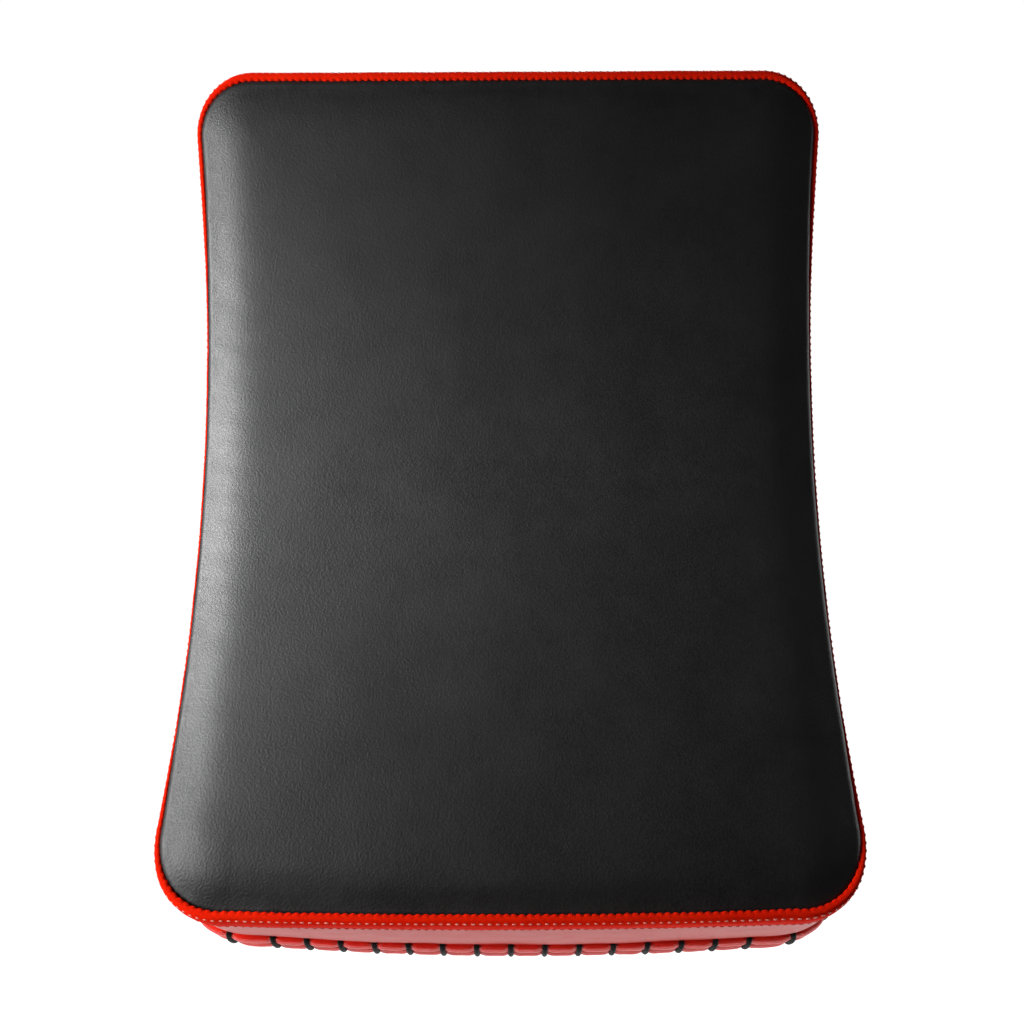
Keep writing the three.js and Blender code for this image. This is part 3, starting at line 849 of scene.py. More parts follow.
def build_gusset():
    """The side wall: a long strip sewn in at both rims and pushed out between them by the foam."""
    count = round(OUTLINE / (4.4 * MM))
    u = np.arange(count) * OUTLINE / count
    share = np.linspace(0, 1, 15)
    open_part = laced(u)[:, None]
    back = GUSSET_BACK + (GUSSET_LACED_BACK - GUSSET_BACK) * open_part
    t = GUSSET_FRONT + (back - GUSSET_FRONT) * share[None, :]
    out = -0.9 * MM * smoothstep((t - 57 * MM) / (7 * MM)) * open_part
    points = round_rim(u, out, t)
    flat, faces = lattice(points, wrap_rows=True)
    held = np.zeros(points.shape[:2], bool)
    held[:, [0, -2, -1]] = True
    blown = inflate(flat, faces, held.ravel(), pressure=4, cap=2.2 * MM).reshape(points.shape)

    parts = [(*lattice(blown, wrap_rows=True), LOOKS["gusset"])]
    obj = piece("side_gusset_leather", parts, "root", ["side_gusset"])
    bake(obj, "SUBSURF", levels=2, render_levels=2)
    points = get_points(obj)
    x, s, t = unbend(points)
    nx, ns = outward_normal(x, s)
    wave = ripple(points * [1, 0.55, 1], 30 * MM, 2.2) * 0.45 * MM + ripple(points, 8 * MM, 7.7) * 0.10 * MM
    wave *= smoothstep((t - 8 * MM) / (12 * MM)) * smoothstep((72 * MM - t) / (12 * MM))
    set_points(obj, bend(x + nx * wave, s + ns * wave, t))
    bake(obj, "SOLIDIFY", thickness=1.5 * MM, offset=-1)
    outward(obj.data)


def rim_band(name, profile, side_profile, u, closed, bite_depth, threads):
    """A folded leather binding along the rim, with a scalloped lip and rows of thread stitches.
    Its section goes from profile, along the top and bottom, to side_profile, halfway up the sides."""
    _, s, nx, _ = outline(u)
    full = fullness(nx, s)[:, None]

    def mixed(a, b):
        a, b = np.atleast_2d(a) * MM, np.atleast_2d(b) * MM
        return [a[:, i] * (1 - full) + b[:, i] * full for i in (0, 1)]

    out, t = mixed(profile, side_profile)
    bite = np.abs(np.sin(np.pi * u / STITCH_PITCH))[:, None] * (1 - full)
    bite = bite * (np.arange(len(profile)) < 2)
    middle = np.mean(np.array(profile)[:, 1]) * MM
    out = out - LIP_BITE * bite
    t = t + bite_depth * bite * np.sign(t - middle)
    points = round_rim(u, out, t).reshape(-1, 3)
    wobble = ripple(points, 6 * MM, 4.4) * 0.13 * MM + ripple(points, 21 * MM, 9.1) * 0.18 * MM
    points = round_rim(u, out + wobble.reshape(out.shape), t)
    parts = [(*lattice(points, wrap_rows=closed, wrap_columns=True, caps=not closed), LOOKS["red"])]
    for place, side_place, lean, look, kind in threads:
        rows = rim_stitches(u, *mixed(place, side_place), np.array(lean) * MM, closed, **kind)
        parts.append((*rows, LOOKS[look]))
    piece(f"{name}_leather", parts, "root", [name])


def build_bindings():
    """Each binding's section is a list of (out, t) in millimetres, and starts with the lip's two points."""
    step = STITCH_PITCH / 6
    count = round(OUTLINE / STITCH_PITCH) * 6
    u = np.arange(count) * OUTLINE / count
    front = [(-0.9, 5.6), (-0.8, 4.9), (-0.2, 4.2), (0.7, 3.9), (1.6, 4.1), (2.4, 4.9), (2.9, 6.4),
             (3.05, 8.2), (3.0, 11), (2.9, 13.5), (2.6, 15.3), (1.9, 16.5), (1.0, 16.9), (0.25, 16.7),
             (0.2, 12), (0.2, 8), (0.1, 6.6), (-0.4, 6.1)]
    front_side = [(0.6, 8.0), (0.7, 7.3), (1.0, 6.9), (1.35, 6.8), (1.7, 7.0), (1.95, 7.6), (2.1, 8.5),
                  (2.2, 9.6), (2.25, 11.8), (2.2, 13.8), (2.1, 15.3), (1.7, 16.5), (1.0, 16.9), (0.25, 16.7),
                  (0.2, 13), (0.2, 10.5), (0.2, 9.5), (0.35, 8.8)]
    small = {"length": 2.3 * MM, "radius": 0.33 * MM, "lift": 0.22 * MM}
    bold = {"length": 1.8 * MM, "radius": 0.32 * MM, "lift": 0.20 * MM}
    threads = [((2.45, 4.95), (1.9, 7.5), (0.6, -0.8), "pale_thread", bold),
               ((2.72, 14.8), (2.15, 14.8), (1, 0.3), "red_thread", small)]
    rim_band("front_binding", front, front_side, u, True, 0.8 * MM, threads)

    rear = [(-2.5, 82.8), (-2.4, 83.6), (-1.2, 84.1), (0.6, 84.1), (2.0, 83.6), (2.8, 82.2), (3.05, 80),
            (3.0, 76), (2.8, 73), (2.2, 71.4), (1.2, 70.8), (0.25, 71), (0.2, 75), (0.2, 80), (-0.5, 82.3)]
    start, stop = LACED_HALF, OUTLINE - LACED_HALF
    u = np.linspace(start, stop, round((stop - start) / step))
    threads = [((-1.1, 84.1), (-1.1, 84.1), (-0.1, 1), "red_thread", small),
               ((2.5, 72.5), (2.5, 72.5), (1, -0.3), "red_thread", small)]
    rim_band("rear_binding", rear, rear, u, False, 0.3 * MM, threads)


def build_hem_rolls():
    """The two rolled hems of the laced opening, pinched wherever the lace goes round them."""
    u = np.arange(-LACED_HALF + 1.5 * MM, LACED_HALF - 1.5 * MM, 1.1 * MM)
    angle = np.linspace(0, 2 * np.pi, 20, endpoint=False)
    turns = np.linspace(-LACE_END, LACE_END, LACE_TURNS)
    taper = smoothstep((LACED_HALF - np.abs(u)) / (7 * MM)) * 0.6 + 0.4
    radius = (ROLL_RADIUS * taper - 0.9 * MM * hump(gap_to(turns, u), 2.2 * MM))[:, None]
    for name, depth in ROLL_DEPTHS.items():
        sign = -1 if name == "gusset" else 1
        out = -ROLL_INSET + radius * np.cos(angle)
        t = depth + radius * np.sin(angle)
        points = round_rim(u, out, t)
        fine = ripple(points.reshape(-1, 3), 5 * MM, 6.1).reshape(out.shape) * 0.14 * MM
        points = round_rim(u, out + fine * np.cos(angle), t + fine * np.sin(angle))
        away = 2.9 * MM
        rows = rim_stitches(u, -ROLL_INSET + away, depth + sign * away, (2.1 * MM, sign * 2.1 * MM),
                            radius=0.34 * MM, lift=0.25 * MM)
        roll = lattice(points, wrap_columns=True, caps=True)
        parts = [(*roll, LOOKS["roll"]), (*rows, LOOKS["red_thread"])]
        piece(f"{name}_hem_roll_leather", parts, "root", [f"{name}_hem_roll"])


def tube(path, radius, sides=12, closed=False, up=(0, 0, 1)):
    """(vertices, faces) of a tube along a path."""
    tangent = tangents_of(path, closed)
    side = np.empty_like(path)
    last = unit(np.cross(tangent[0], up))
    for i, direction in enumerate(tangent):
        last = last - direction * (last @ direction)
        last = last / np.linalg.norm(last)
        side[i] = last
    other = np.cross(tangent, side)
    angle = np.linspace(0, 2 * np.pi, sides, endpoint=False)
    radius = np.broadcast_to(radius, len(path))[:, None, None]
    ring = side[:, None] * np.cos(angle)[None, :, None] + other[:, None] * np.sin(angle)[None, :, None]
    return lattice(path[:, None] + ring * radius, wrap_rows=closed, wrap_columns=True, caps=not closed)


def build_lacing():
    """One waxed cord, wound round both hem rolls, with a knot at each end. It steps on behind the rolls."""
    per_turn = 28
    turn = np.arange((LACE_TURNS - 1) * per_turn + per_turn // 2 + 1) / per_turn
    advance = np.floor(turn) + smoothstep((turn % 1.0 - 0.6) / 0.36)
    u = -LACE_END + advance * 2 * LACE_END / (LACE_TURNS - 1)
    middle = (ROLL_DEPTHS["panel"] + ROLL_DEPTHS["gusset"]) / 2
    spread = (ROLL_DEPTHS["panel"] - ROLL_DEPTHS["gusset"]) / 2
    reach = ROLL_RADIUS - 1.9 * MM + LACE_RADIUS
    across, depth = np.sin(2 * np.pi * turn), -np.cos(2 * np.pi * turn)
    out = -ROLL_INSET + reach * np.sign(across) * np.abs(across) ** 0.62
    t = middle + (reach + spread) * np.sign(depth) * np.abs(depth) ** 0.9
    line = resample(round_rim(u, out[:, None], t[:, None])[:, 0], step=0.8 * MM)
    lay = 1 + 0.05 * np.sin(np.arange(len(line)) * 1.9)
    parts = [(*tube(line, LACE_RADIUS * lay, 10), LOOKS["cord"])]
    k = np.linspace(0, 2 * np.pi, 90, endpoint=False)
    knot_x, knot_z = np.sin(k) + 2 * np.sin(2 * k), np.cos(k) - 2 * np.cos(2 * k)
    knot = np.column_stack([knot_x, -np.sin(3 * k) * 1.3, knot_z])
    for end in (line[0], line[-1]):
        parts.append((*tube(end + knot * 1.15 * MM, LACE_RADIUS, 10, closed=True), LOOKS["cord"]))
    piece("lacing_cord_waxed", parts, "root", ["lacing_cord"])


def build_back_panel():
    """The back panel's leather, drawn in along the laced opening, and sewn to the board along one row."""
    x, s = outline_sheet(0.7 * MM, 5 * MM)
    inset = 3.3 * MM
    low = smoothstep((-s - (PAD_LENGTH / 2 - BOTTOM_CORNER - LACED_RISE)) / (8 * MM))
    s = s + inset * low * smoothstep((-s - 100 * MM) / (80 * MM))
    x = x * (1 - inset / (PAD_WIDTH / 2) * low)
    seam = 14 * MM

    def detail(points):
        x, s, t = unbend(points)
        distance = inside_outline(x, s)
        swell = (ripple(points, 48 * MM, 5.5) * 0.35 + 0.2) * MM * smoothstep((distance - seam) / (12 * MM))
        return bend(x, s, t + swell * 0.6 - 0.30 * MM * hump(distance - seam, 1.6 * MM))

    depth = np.full(x.shape, PANEL_BACK - 0.2 * MM)
    skin("back_panel_leather", bend(*fill_out(x, s, depth), depth), LOOKS["black"], ["back_panel"], 1.4 * MM,
         Vector((0, -1, 0)), detail)
    rows = rim_stitches(np.arange(0, OUTLINE, 1.5 * MM), -seam, PANEL_BACK - 0.35 * MM, (0, 1.35 * MM), True)
    piece("back_panel_stitching", [(*rows, LOOKS["black_thread"])], "root")


def inside_bed(x, s):
    return inside(x, s, BED_HALF_WIDTH, BED_HALF_LENGTH, BED_CORNER)


def bed_height(x, s):
    """How high the forearm bed stands on the back panel: a rounded pillow, lower at each quilted channel."""
    distance = inside_bed(x, s) - BED_FLANGE
    edge = np.sqrt(np.clip(1 - (1 - np.clip(distance / (15 * MM), 0, 1)) ** 2, 0, 1))
    quilting = 1 - 0.42 * hump(gap_to(BED_CHANNELS, s), 5.5 * MM)
    return BED_SEAM + (CUSHION_THICKNESS - 2.2 * MM - BED_SEAM) * edge * quilting


def build_cushion():
    """The forearm bed: a stuffed pillow on a sewn flange, quilted across in four channels, and its foam."""
    x, s = rounded_sheet(BED_HALF_WIDTH, BED_HALF_LENGTH, BED_CORNER, BED_CORNER, 4 * MM)
    flat, faces = lattice(bend(x, s + BED_MIDDLE, PANEL_BACK + bed_height(x, s)))
    held = (inside_bed(x, s) < BED_FLANGE + 1 * MM) | (gap_to(BED_CHANNELS, s) < 2.4 * MM)
    blown = inflate(flat, faces, held.ravel(), pressure=4, cap=1.5 * MM).reshape(*x.shape, 3)

    def detail(points):
        x, s, t = unbend(points)
        s = s - BED_MIDDLE
        past_flange = inside_bed(x, s) - BED_FLANGE
        nearest = gap_to(BED_CHANNELS, s)
        rise = smoothstep((past_flange + 0.5 * MM) / (4 * MM))
        gathers = hump(nearest, 9 * MM) + 0.6 * hump(past_flange, 9 * MM)
        pucker = ripple(points * [1, 1, 0.5], 8 * MM, 3.3) * 0.5 * MM * gathers
        above = t - PANEL_BACK - BED_SEAM + pucker - 0.8 * MM * hump(nearest, 1.2 * MM)
        return bend(x, s + BED_MIDDLE, PANEL_BACK + BED_SEAM + above * rise)

    obj = skin("forearm_cushion_leather", blown, LOOKS["black"], ["forearm_cushion_cover"], 1.3 * MM,
               Vector((0, -1, 0)), detail)

    x, s = x * 0.92, s * 0.96
    rise = smoothstep((inside_bed(x, s) - BED_FLANGE - 2 * MM) / (5 * MM))
    above = 0.35 * MM + np.maximum((bed_height(x, s) - BED_SEAM) * rise - 0.6 * MM, 0)
    top, base = [bend(x, s + BED_MIDDLE, PANEL_BACK + level) for level in (above, 0.1 * MM)]
    parts = [(*lattice(np.concatenate([top, base[::-1]]), wrap_rows=True), LOOKS["firm_foam"])]
    core = piece("forearm_cushion_core", parts, "root", ["forearm_cushion_foam"])


def bed_stitches(x, s, level, closed=False):
    line, above = [bend(x, s + BED_MIDDLE, PANEL_BACK + level + lift) for lift in (0, 1 * MM)]
    return *stitch_row(line, unit(above - line), closed), LOOKS["black_thread"]


def build_cushion_stitching():
    """A row of stitches down each quilted channel, and one round the flange."""
    parts = []
    across = np.linspace(-BED_HALF_WIDTH + 13 * MM, BED_HALF_WIDTH - 13 * MM, 60)
    for channel in BED_CHANNELS:
        along = np.full(len(across), channel)
        parts.append(bed_stitches(across, along, bed_height(across, along) - 0.9 * MM))
    angle = np.radians(np.arange(0, 360, 5))
    turn = BED_CORNER - BED_FLANGE / 2
    corner_x = (BED_HALF_WIDTH - BED_CORNER) * np.sign(np.cos(angle + 1e-6)) + turn * np.cos(angle)
    corner_s = (BED_HALF_LENGTH - BED_CORNER) * np.sign(np.sin(angle + 1e-6)) + turn * np.sin(angle)
    rim = resample(np.column_stack([corner_x, corner_s]), step=2 * MM, closed=True)
    parts.append(bed_stitches(rim[:, 0], rim[:, 1], BED_SEAM, True))
    piece("forearm_cushion_stitching", parts, "root")


# ---------------------------------------------------------------- straps, rings, grip and rivets

def arch(degrees, offset=0.0):
    """A place on the strap's arch over the forearm, in its panel frame. 0 degrees is the foot at +x."""
    angle = np.radians(np.asarray(degrees, float))
    point = np.stack([ARCH_HALF * np.cos(angle), ARCH_BASE + ARCH_HEIGHT * np.sin(angle)], -1)
    normal = unit(np.stack([ARCH_HEIGHT * np.cos(angle), ARCH_HALF * np.sin(angle)], -1))
    return point + normal * np.asarray(offset, float)[..., None]


class Strip:
    """A strap along a path in a panel frame's x-y plane, with rounded edges and sewn grooves. ends are the
    radii of its ends. depth is how deep the groove is, and crown how much the middle rises, both as shares of
    half the thickness."""

    def __init__(self, path, width, thickness, ends, groove=4 * MM, depth=0.14, crown=0.05, step=2 * MM):
        path = np.asarray(path, float)
        total = np.sum(np.linalg.norm(np.diff(path, axis=0), axis=1))
        self.path = resample(path, step=step)
        self.along = np.linspace(0, total, len(self.path))
        tangent = tangents_of(self.path)
        self.normal = np.column_stack([-tangent[:, 1], tangent[:, 0]])
        self.half = self.spread(width) / 2
        self.thick = self.spread(thickness) / 2
        for radius, distance in ((ends[0], self.along), (ends[1], total - self.along)):
            if radius:
                missing = np.clip(1 - distance / radius, 0, 1)
                self.half = self.half - radius * (1 - np.sqrt(1 - missing**2))
        self.groove, self.depth, self.crown = groove, depth, crown

    def spread(self, value):
        """A number, or (share of the length, number) pairs, as one number for each row."""
        if isinstance(value, (int, float)):
            return np.full(len(self.path), float(value))
        places, numbers = zip(*value)
        return np.interp(self.along / self.along[-1], places, numbers)

    def at(self, z, height):
        flat = self.path + self.normal * np.asarray(height)[:, None]
        return np.column_stack([flat, z])

    def shell(self, material, edge=None):
        """The strap's skin. Its section is a row of (side, distance in from the edge, height) points."""
        g = self.groove
        side = [(0.25 * MM, 0.62), (0.8 * MM, 0.93), (1.7 * MM, 1.0), (g - 1 * MM, 1.0),
                (g, 1 - self.depth), (g + 1 * MM, 1.0), (g + 4 * MM, 1 + self.crown)]
        row = [(-1, 0, 0.0)] + [(-1, a, b) for a, b in side] + [(0, 0, 1 + self.crown)]
        row += [(1, a, b) for a, b in side[::-1]] + [(1, 0, 0.0)] + [(1, a, -b) for a, b in side]
        row += [(0, 0, -1 - self.crown)] + [(-1, a, -b) for a, b in side[::-1]]
        columns = [self.at(sign * (self.half - np.minimum(inset, self.half * 0.9)), self.thick * level)
                   for sign, inset, level in row]
        vertices, faces = lattice(np.stack(columns, axis=1), wrap_columns=True, caps=True)
        if edge is None:
            return vertices, faces, material
        count = len(row)
        at_edge = {0, count - 1, count // 2 - 1, count // 2}
        owners = [edge if i % count in at_edge else material for i in range(len(faces) - 2)]
        return vertices, faces, owners + [edge, edge]

    def stitching(self, side=1, end=4 * MM):
        """A row of stitches round the strap, in its groove, on its outer (1) or inner (-1) face."""
        kept = (self.along >= end) & (self.along <= self.along[-1] - end)
        height = side * self.thick * (1 - self.depth)
        left, right = [self.at(sign * (self.half - self.groove), height)[kept] for sign in (-1, 1)]
        normal = np.column_stack([self.normal * side, 0 * self.along])[kept]
        line = np.vstack([left, right[::-1]])
        return *stitch_row(line, np.vstack([normal, normal[::-1]]), True), LOOKS["black_thread"]

    def row_across(self, distance, side=1):
        """A row of stitches straight across the strap."""
        i = int(np.argmin(np.abs(self.along - distance)))
        z = np.linspace(-1, 1, 12) * (self.half[i] - self.groove)
        flat = self.path[i] + self.normal[i] * side * self.thick[i] * (1 + self.crown * 0.5)
        line = np.column_stack([np.repeat(flat[None], 12, axis=0), z])
        up = np.repeat(np.append(self.normal[i] * side, 0)[None], 12, axis=0)
        return *stitch_row(line, up), LOOKS["black_thread"]


def strap_path():
    """From the foot at -x, over the forearm, and half round the ring's wire."""
    flat = 0.3 * MM + STRAP_THICKNESS / 2
    foot = spline([(-FOOT_BEND, flat), (-103.5 * MM, 4.6 * MM), (-98.8 * MM, 11 * MM), tuple(arch(174))], 14)
    over = arch(np.linspace(170, RING_ANGLE + 1, 90))
    centre = arch(RING_ANGLE, FOLD_RADIUS)
    x, y = arch(RING_ANGLE) - centre
    turn = np.linspace(0, np.pi, 20)
    turned_x, turned_y = x * np.cos(turn) - y * np.sin(turn), x * np.sin(turn) + y * np.cos(turn)
    half_turn = centre + np.column_stack([turned_x, turned_y])
    return np.vstack([[(-FOOT_END, flat)], foot, over, half_turn])


def build_strap(name, place):
    thickness = [(0, STRAP_THICKNESS), (0.86, STRAP_THICKNESS), (0.91, 3.4 * MM), (1, 3.2 * MM)]
    strap = Strip(strap_path(), STRAP_WIDTH, thickness, ends=(10 * MM, 0), step=1.6 * MM)
    parts = [strap.shell(LOOKS["black"], LOOKS["edge"]), strap.stitching(1), strap.stitching(-1),
             strap.row_across(24 * MM)]
    obj = piece(f"{name}_strap_leather", parts, nodes=[f"{name}_strap", f"{name}_strap_fold"],
                matrix=place, free=True)
    start, end = in_frame(place, [(*arch(37), 0), (*arch(28), 0)])
    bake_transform(obj)


def build_tail(name, place):
    """The strap's tail, folded back from the ring over the strap. It bends a little way beyond the fold."""
    angles = np.linspace(RING_ANGLE, 90, 60)
    rest = np.interp(angles, [28.4, 90], [2 * FOLD_RADIUS, 7.4 * MM])
    tail = Strip(arch(angles, rest)[::-1], STRAP_WIDTH, TAIL_THICKNESS, ends=(12 * MM, 0), step=1.6 * MM)
    parts = [tail.shell(LOOKS["black"], LOOKS["edge"]), tail.stitching(-1), tail.stitching(1)]
    obj = piece(f"{name}_strap_tail_leather", parts, nodes=[f"{name}_strap_tail"],
                matrix=place, free=True)
    start, end = in_frame(place, [(*arch(26.0, 9.15 * MM), 0), (*arch(29.2, 9.15 * MM), 0)])
    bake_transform(obj)


def build_lining(name, place):
    """The strap's padding: seven seams across it, and thin ends."""
    lining = Strip(arch(np.linspace(145, 38, 80), -5.3 * MM), 46 * MM, 5.4 * MM, ends=(9 * MM, 9 * MM),
                   groove=5 * MM, depth=0.30, crown=0.10)
    seams = lining.along[-1] * np.arange(1, 8) / 8
    ends = np.minimum(lining.along, lining.along[-1] - lining.along)
    lining.thick = lining.thick * (1 - 0.34 * hump(gap_to(seams, lining.along), 2.6 * MM))
    lining.thick = lining.thick * (0.45 + 0.55 * smoothstep(ends / (6 * MM)))
    parts = [lining.shell(LOOKS["lining"]), lining.stitching(-1, 5 * MM)]
    parts += [lining.row_across(seam, -1) for seam in seams]
    obj = piece(f"{name}_strap_lining_padded", parts, "root", [f"{name}_strap_lining"], place)


def build_patches(name, place):
    """The loop patch on the strap, and the hook patch under its tail."""
    shape = {"ends": (5 * MM, 5 * MM), "groove": 2.5 * MM, "depth": 0.5}
    loop = Strip(arch(np.linspace(88, 40, 50), 3.0 * MM), 44 * MM, 1.5 * MM, crown=0.1, **shape)
    hook = Strip(arch(np.linspace(82, 46, 40), 4.85 * MM), 42 * MM, 1.4 * MM, crown=0.05, **shape)
    for kind, texture, body, strip, side in (("loop", "pile", "root", loop, 1),
                                             ("hook", "tape", f"{name}_tail", hook, -1)):
        parts = [strip.shell(LOOKS[kind]), strip.stitching(side, 2.5 * MM)]
        piece(f"{name}_{kind}_patch_{texture}", parts, body, [f"{name}_{kind}_patch"], place)


def build_ring(name, place):
    """A rectangular wire ring from the tab up to the strap's fold, with a weld at its foot."""
    foot, top = np.array(RING_FOOT), arch(RING_ANGLE, FOLD_RADIUS)
    length = np.linalg.norm(top - foot)
    up = (top - foot) / length
    high, wide = length - RING_CORNER, RING_INNER_WIDTH / 2 + RING_WIRE - RING_CORNER
    loop = []
    corners = ((high, wide, 0), (RING_CORNER, wide, 90), (RING_CORNER, -wide, 180), (high, -wide, 270))
    for rise, z, start in corners:
        for angle in np.radians(np.linspace(start, start + 90, 9)):
            loop.append((rise + RING_CORNER * np.cos(angle), z + RING_CORNER * np.sin(angle)))
    loop = resample(loop, step=1.5 * MM, closed=True)
    wire = np.column_stack([foot[0] + up[0] * loop[:, 0], foot[1] + up[1] * loop[:, 0], loop[:, 1]])
    weld = hump(wire[:, 2], 1.6 * MM) * (np.abs(wire[:, 1] - foot[1]) < 2 * MM)
    parts = [(*tube(wire, RING_WIRE + 0.25 * MM * weld, 16, closed=True), LOOKS["steel"])]
    piece(f"{name}_ring_wire", parts, f"{name}_ring", [f"{name}_ring"], place)


def build_ring_tab(name, place):
    """The leather tab that is riveted to the panel and goes round the ring's foot."""
    reach = RING_WIRE + 1.9 * MM
    flat = 1.8 * MM
    x, y = RING_FOOT
    rise = spline([(FOOT_BEND, flat), (105.5 * MM, 3.6 * MM), (102 * MM, 9 * MM), (x + reach, y)], 14)
    angles = np.radians(np.linspace(0, 235, 26))[1:]
    round_foot = np.column_stack([x + reach * np.cos(angles), y + reach * np.sin(angles)])
    path = np.vstack([[(FOOT_END, flat)], rise, round_foot])
    tab = Strip(path, 44 * MM, 3 * MM, ends=(9 * MM, 0), step=1.3 * MM)
    parts = [tab.shell(LOOKS["black"], LOOKS["edge"]), tab.stitching(-1), tab.row_across(24 * MM, -1)]
    piece(f"{name}_ring_tab_leather", parts, "root", [f"{name}_ring_tab"], place)


def sleeve_shape(radii, places, puckers=0.0):
    """A tube along x with the given radius at each place."""
    angle = np.linspace(0, 2 * np.pi, 64, endpoint=False)
    places = np.asarray(places)[:, None]
    gather = smoothstep((np.abs(places) - (GRIP_SLEEVE / 2 - 5 * MM)) / (6 * MM))
    radius = np.asarray(radii)[:, None] * (1 + puckers * gather * np.sin(angle * 16))
    x = places + 0 * radius
    return np.stack([x, GRIP_HEIGHT + radius * np.cos(angle), radius * np.sin(angle)], -1)


def build_grip_strap(place):
    """The grip's leather strap, from foot to foot through the sleeve, and narrower in the middle."""
    flat = 2.3 * MM
    left = spline([(-83 * MM, flat), (-76 * MM, 4.2 * MM), (-71.2 * MM, 10.5 * MM), (-69 * MM, 24 * MM),
                   (-66 * MM, 38 * MM), (-60 * MM, 48.5 * MM), (-52 * MM, GRIP_HEIGHT)], 60)
    path = np.vstack([[(-120 * MM, flat)], left, (left * [-1, 1])[::-1], [(120 * MM, flat)]])
    foot, hold = 40 * MM, 28 * MM
    width = [(0, foot), (0.10, foot), (0.20, hold), (0.80, hold), (0.90, foot), (1, foot)]
    strap = Strip(path, width, STRAP_THICKNESS, ends=(9 * MM, 9 * MM), step=1.6 * MM)
    parts = [strap.shell(LOOKS["black"], LOOKS["edge"]), strap.stitching(1), strap.row_across(32 * MM),
             strap.row_across(strap.along[-1] - 32 * MM)]
    obj = piece("grip_strap_leather", parts, nodes=["grip_strap", "grip_foot_left", "grip_foot_right"],
                matrix=place, free=True)
    start, end = in_frame(place, [(0, 3 * MM, 0), (0, 20 * MM, 0)])
    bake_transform(obj)


def build_grip_sleeve(place):
    """The stuffed sleeve. Its ends are gathered and closed, and its seam is on the panel's side."""
    half = GRIP_SLEEVE / 2
    inner = np.linspace(-half + 3 * MM, half - 3 * MM, 52)
    barrel = GRIP_RADIUS + 0.9 * MM * (1 - (inner / half) ** 2) + 0.25 * MM
    closing = np.array([(0.6, 18.1), (1.8, 17.4), (2.8, 15.8), (3.3, 12.5), (3.4, 9.0)]) * MM
    past, radii = half - 3 * MM + closing[:, 0], closing[:, 1]
    places = np.concatenate([-past[::-1], inner, past])
    shell = sleeve_shape(np.concatenate([radii[::-1], barrel, radii]), places, 0.035)
    flat, faces = lattice(shell, wrap_columns=True)
    held = (np.abs(flat[:, 0]) > half - 12 * MM) | (flat[:, 1] - GRIP_HEIGHT < -17.5 * MM)
    blown = inflate(flat, faces, held, pressure=4, cap=0.7 * MM)
    rise = ripple(blown, 16 * MM, 2.8) * 0.25 * MM + ripple(blown * [1, 0.5, 0.5], 5 * MM, 1.1) * 0.10 * MM
    blown = blown + unit(blown * [0, 1, 1] - [0, GRIP_HEIGHT, 0]) * rise[:, None]
    parts = [(blown, faces, LOOKS["black"])]
    along = np.linspace(-half + 12 * MM, half - 12 * MM, 60)
    for z in (-1.7 * MM, 1.7 * MM):
        line = np.column_stack([along, np.full(60, GRIP_HEIGHT - 18.6 * MM), np.full(60, z)])
        parts.append((*stitch_row(line, np.tile([0.0, -1.0, 0.0], (60, 1))), LOOKS["black_thread"]))
    obj = piece("grip_sleeve_padded", parts, "grip", ["grip_cover"], place)


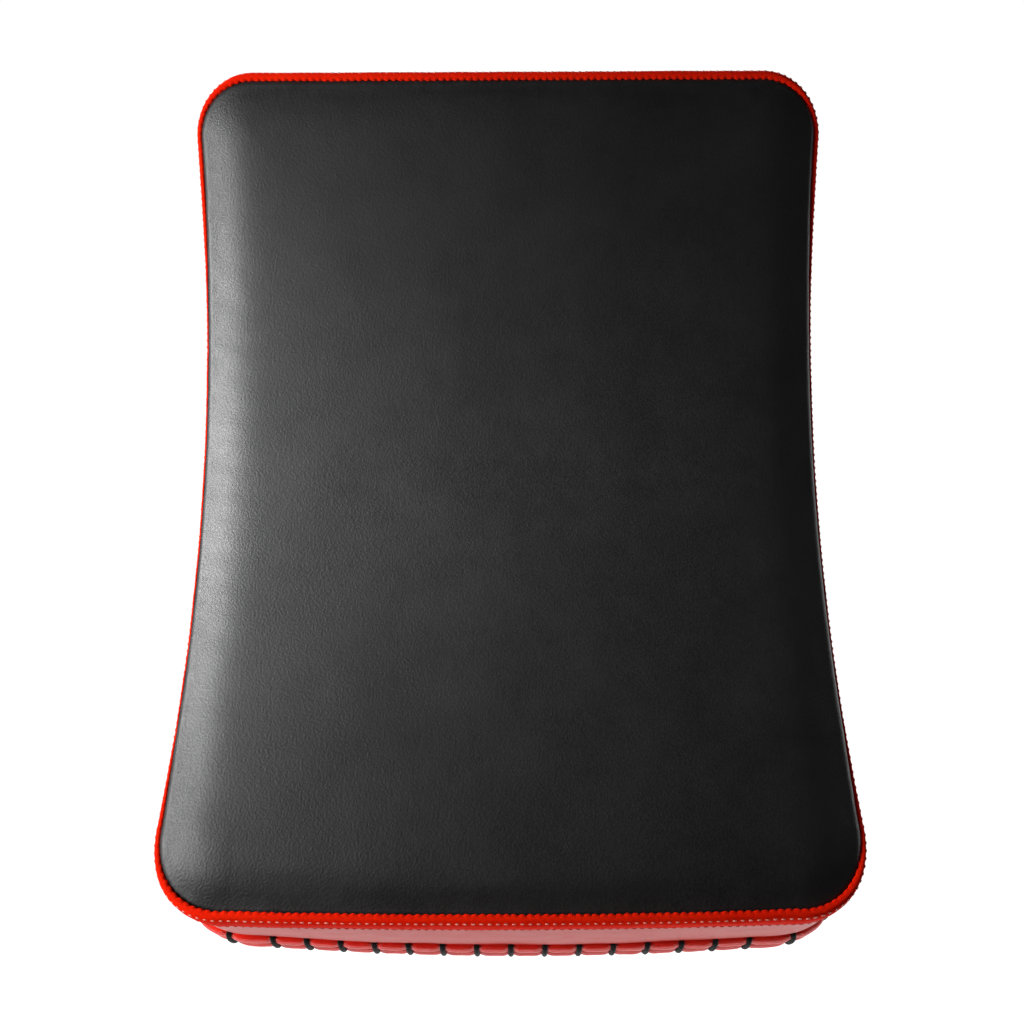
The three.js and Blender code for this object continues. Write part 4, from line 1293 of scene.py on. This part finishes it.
def build_grip_collars(place):
    """A red collar at each end of the sleeve, with two rows of stitches. Its section is (along, radius)."""
    section = np.array([(-5, 19.0), (-4.8, 19.9), (-4.2, 20.4), (-3, 20.35), (0, 20.6),
                        (3, 20.35), (4.2, 20.4), (4.8, 19.9), (5, 19.0)]) * MM
    angle = np.linspace(0, 2 * np.pi, 90, endpoint=False)
    up = np.column_stack([0 * angle, np.cos(angle), np.sin(angle)])
    for side, sign in (("left", -1), ("right", 1)):
        centre = sign * (GRIP_SLEEVE / 2 - 6 * MM)
        shape = sleeve_shape(section[:, 1], centre + section[:, 0])
        parts = [(*lattice(shape, wrap_columns=True), LOOKS["red"])]
        for shift in (-3.1 * MM, 3.1 * MM):
            line = up * 20.35 * MM + [centre + shift, GRIP_HEIGHT, 0]
            parts.append((*stitch_row(line, up, True, radius=0.34 * MM), LOOKS["red_thread"]))
        piece(f"grip_collar_{side}_leather", parts, "grip", [f"grip_collar_{side}"], place)


def build_rivets():
    """Domed rivets through the straps' feet, the tabs and the grip's feet, in pairs across each leather."""
    pairs = []
    for name, station in STRAP_STATIONS.items():
        pairs.append((f"{name}_anchor", station, -126 * MM, 14 * MM, 4.4 * MM))
        pairs.append((f"{name}_tab", station, 126 * MM, 14 * MM, 3.4 * MM))
    for side, x in (("left", -98 * MM), ("right", 98 * MM)):
        pairs.append((f"grip_{side}", GRIP_STATION, x, 11 * MM, 4.4 * MM))
    profile = [(5.1, -0.5), (5.5, 0.0), (5.5, 0.35), (5.2, 0.6), (4.7, 0.62), (4.2, 1.1), (3.2, 1.7),
               (1.8, 2.05), (0.5, 2.15)]
    radii, heights = np.array(profile).T[:, :, None] * MM
    angle = np.linspace(0, 2 * np.pi, 40, endpoint=False)
    for name, station, x, reach, under in pairs:
        for end, z in (("bottom", -reach), ("top", reach)):
            rings = [x + radii * np.cos(angle), under + heights + 0 * angle, z + radii * np.sin(angle)]
            dome = lattice(np.stack(rings, -1), wrap_columns=True, caps=True)
            node = f"{name}_rivet_{end}"
            piece(f"{node}_dome", [(*dome, LOOKS["steel"])], "root", [node], panel_frame(station))


def finish_inside():
    """The foams and the board keep their CAD shape, and get their own materials."""
    inside_looks = {"strike_foam": "firm_foam", "rear_foam": "firm_foam", "impact_foam": "soft_foam",
                    "grip_foam": "soft_foam", "backing_board": "board"}
    for name, look in inside_looks.items():
        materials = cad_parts[name].data.materials
        materials.clear()
        materials.append(LOOKS[look])


build_face()
build_gusset()
build_bindings()
build_hem_rolls()
build_lacing()
build_back_panel()
build_cushion()
build_cushion_stitching()
for strap_name, strap_station in STRAP_STATIONS.items():
    for build in (build_strap, build_tail, build_lining, build_patches, build_ring, build_ring_tab):
        build(strap_name, panel_frame(strap_station))
for build in (build_grip_strap, build_grip_sleeve, build_grip_collars):
    build(panel_frame(GRIP_STATION))
build_rivets()
finish_inside()
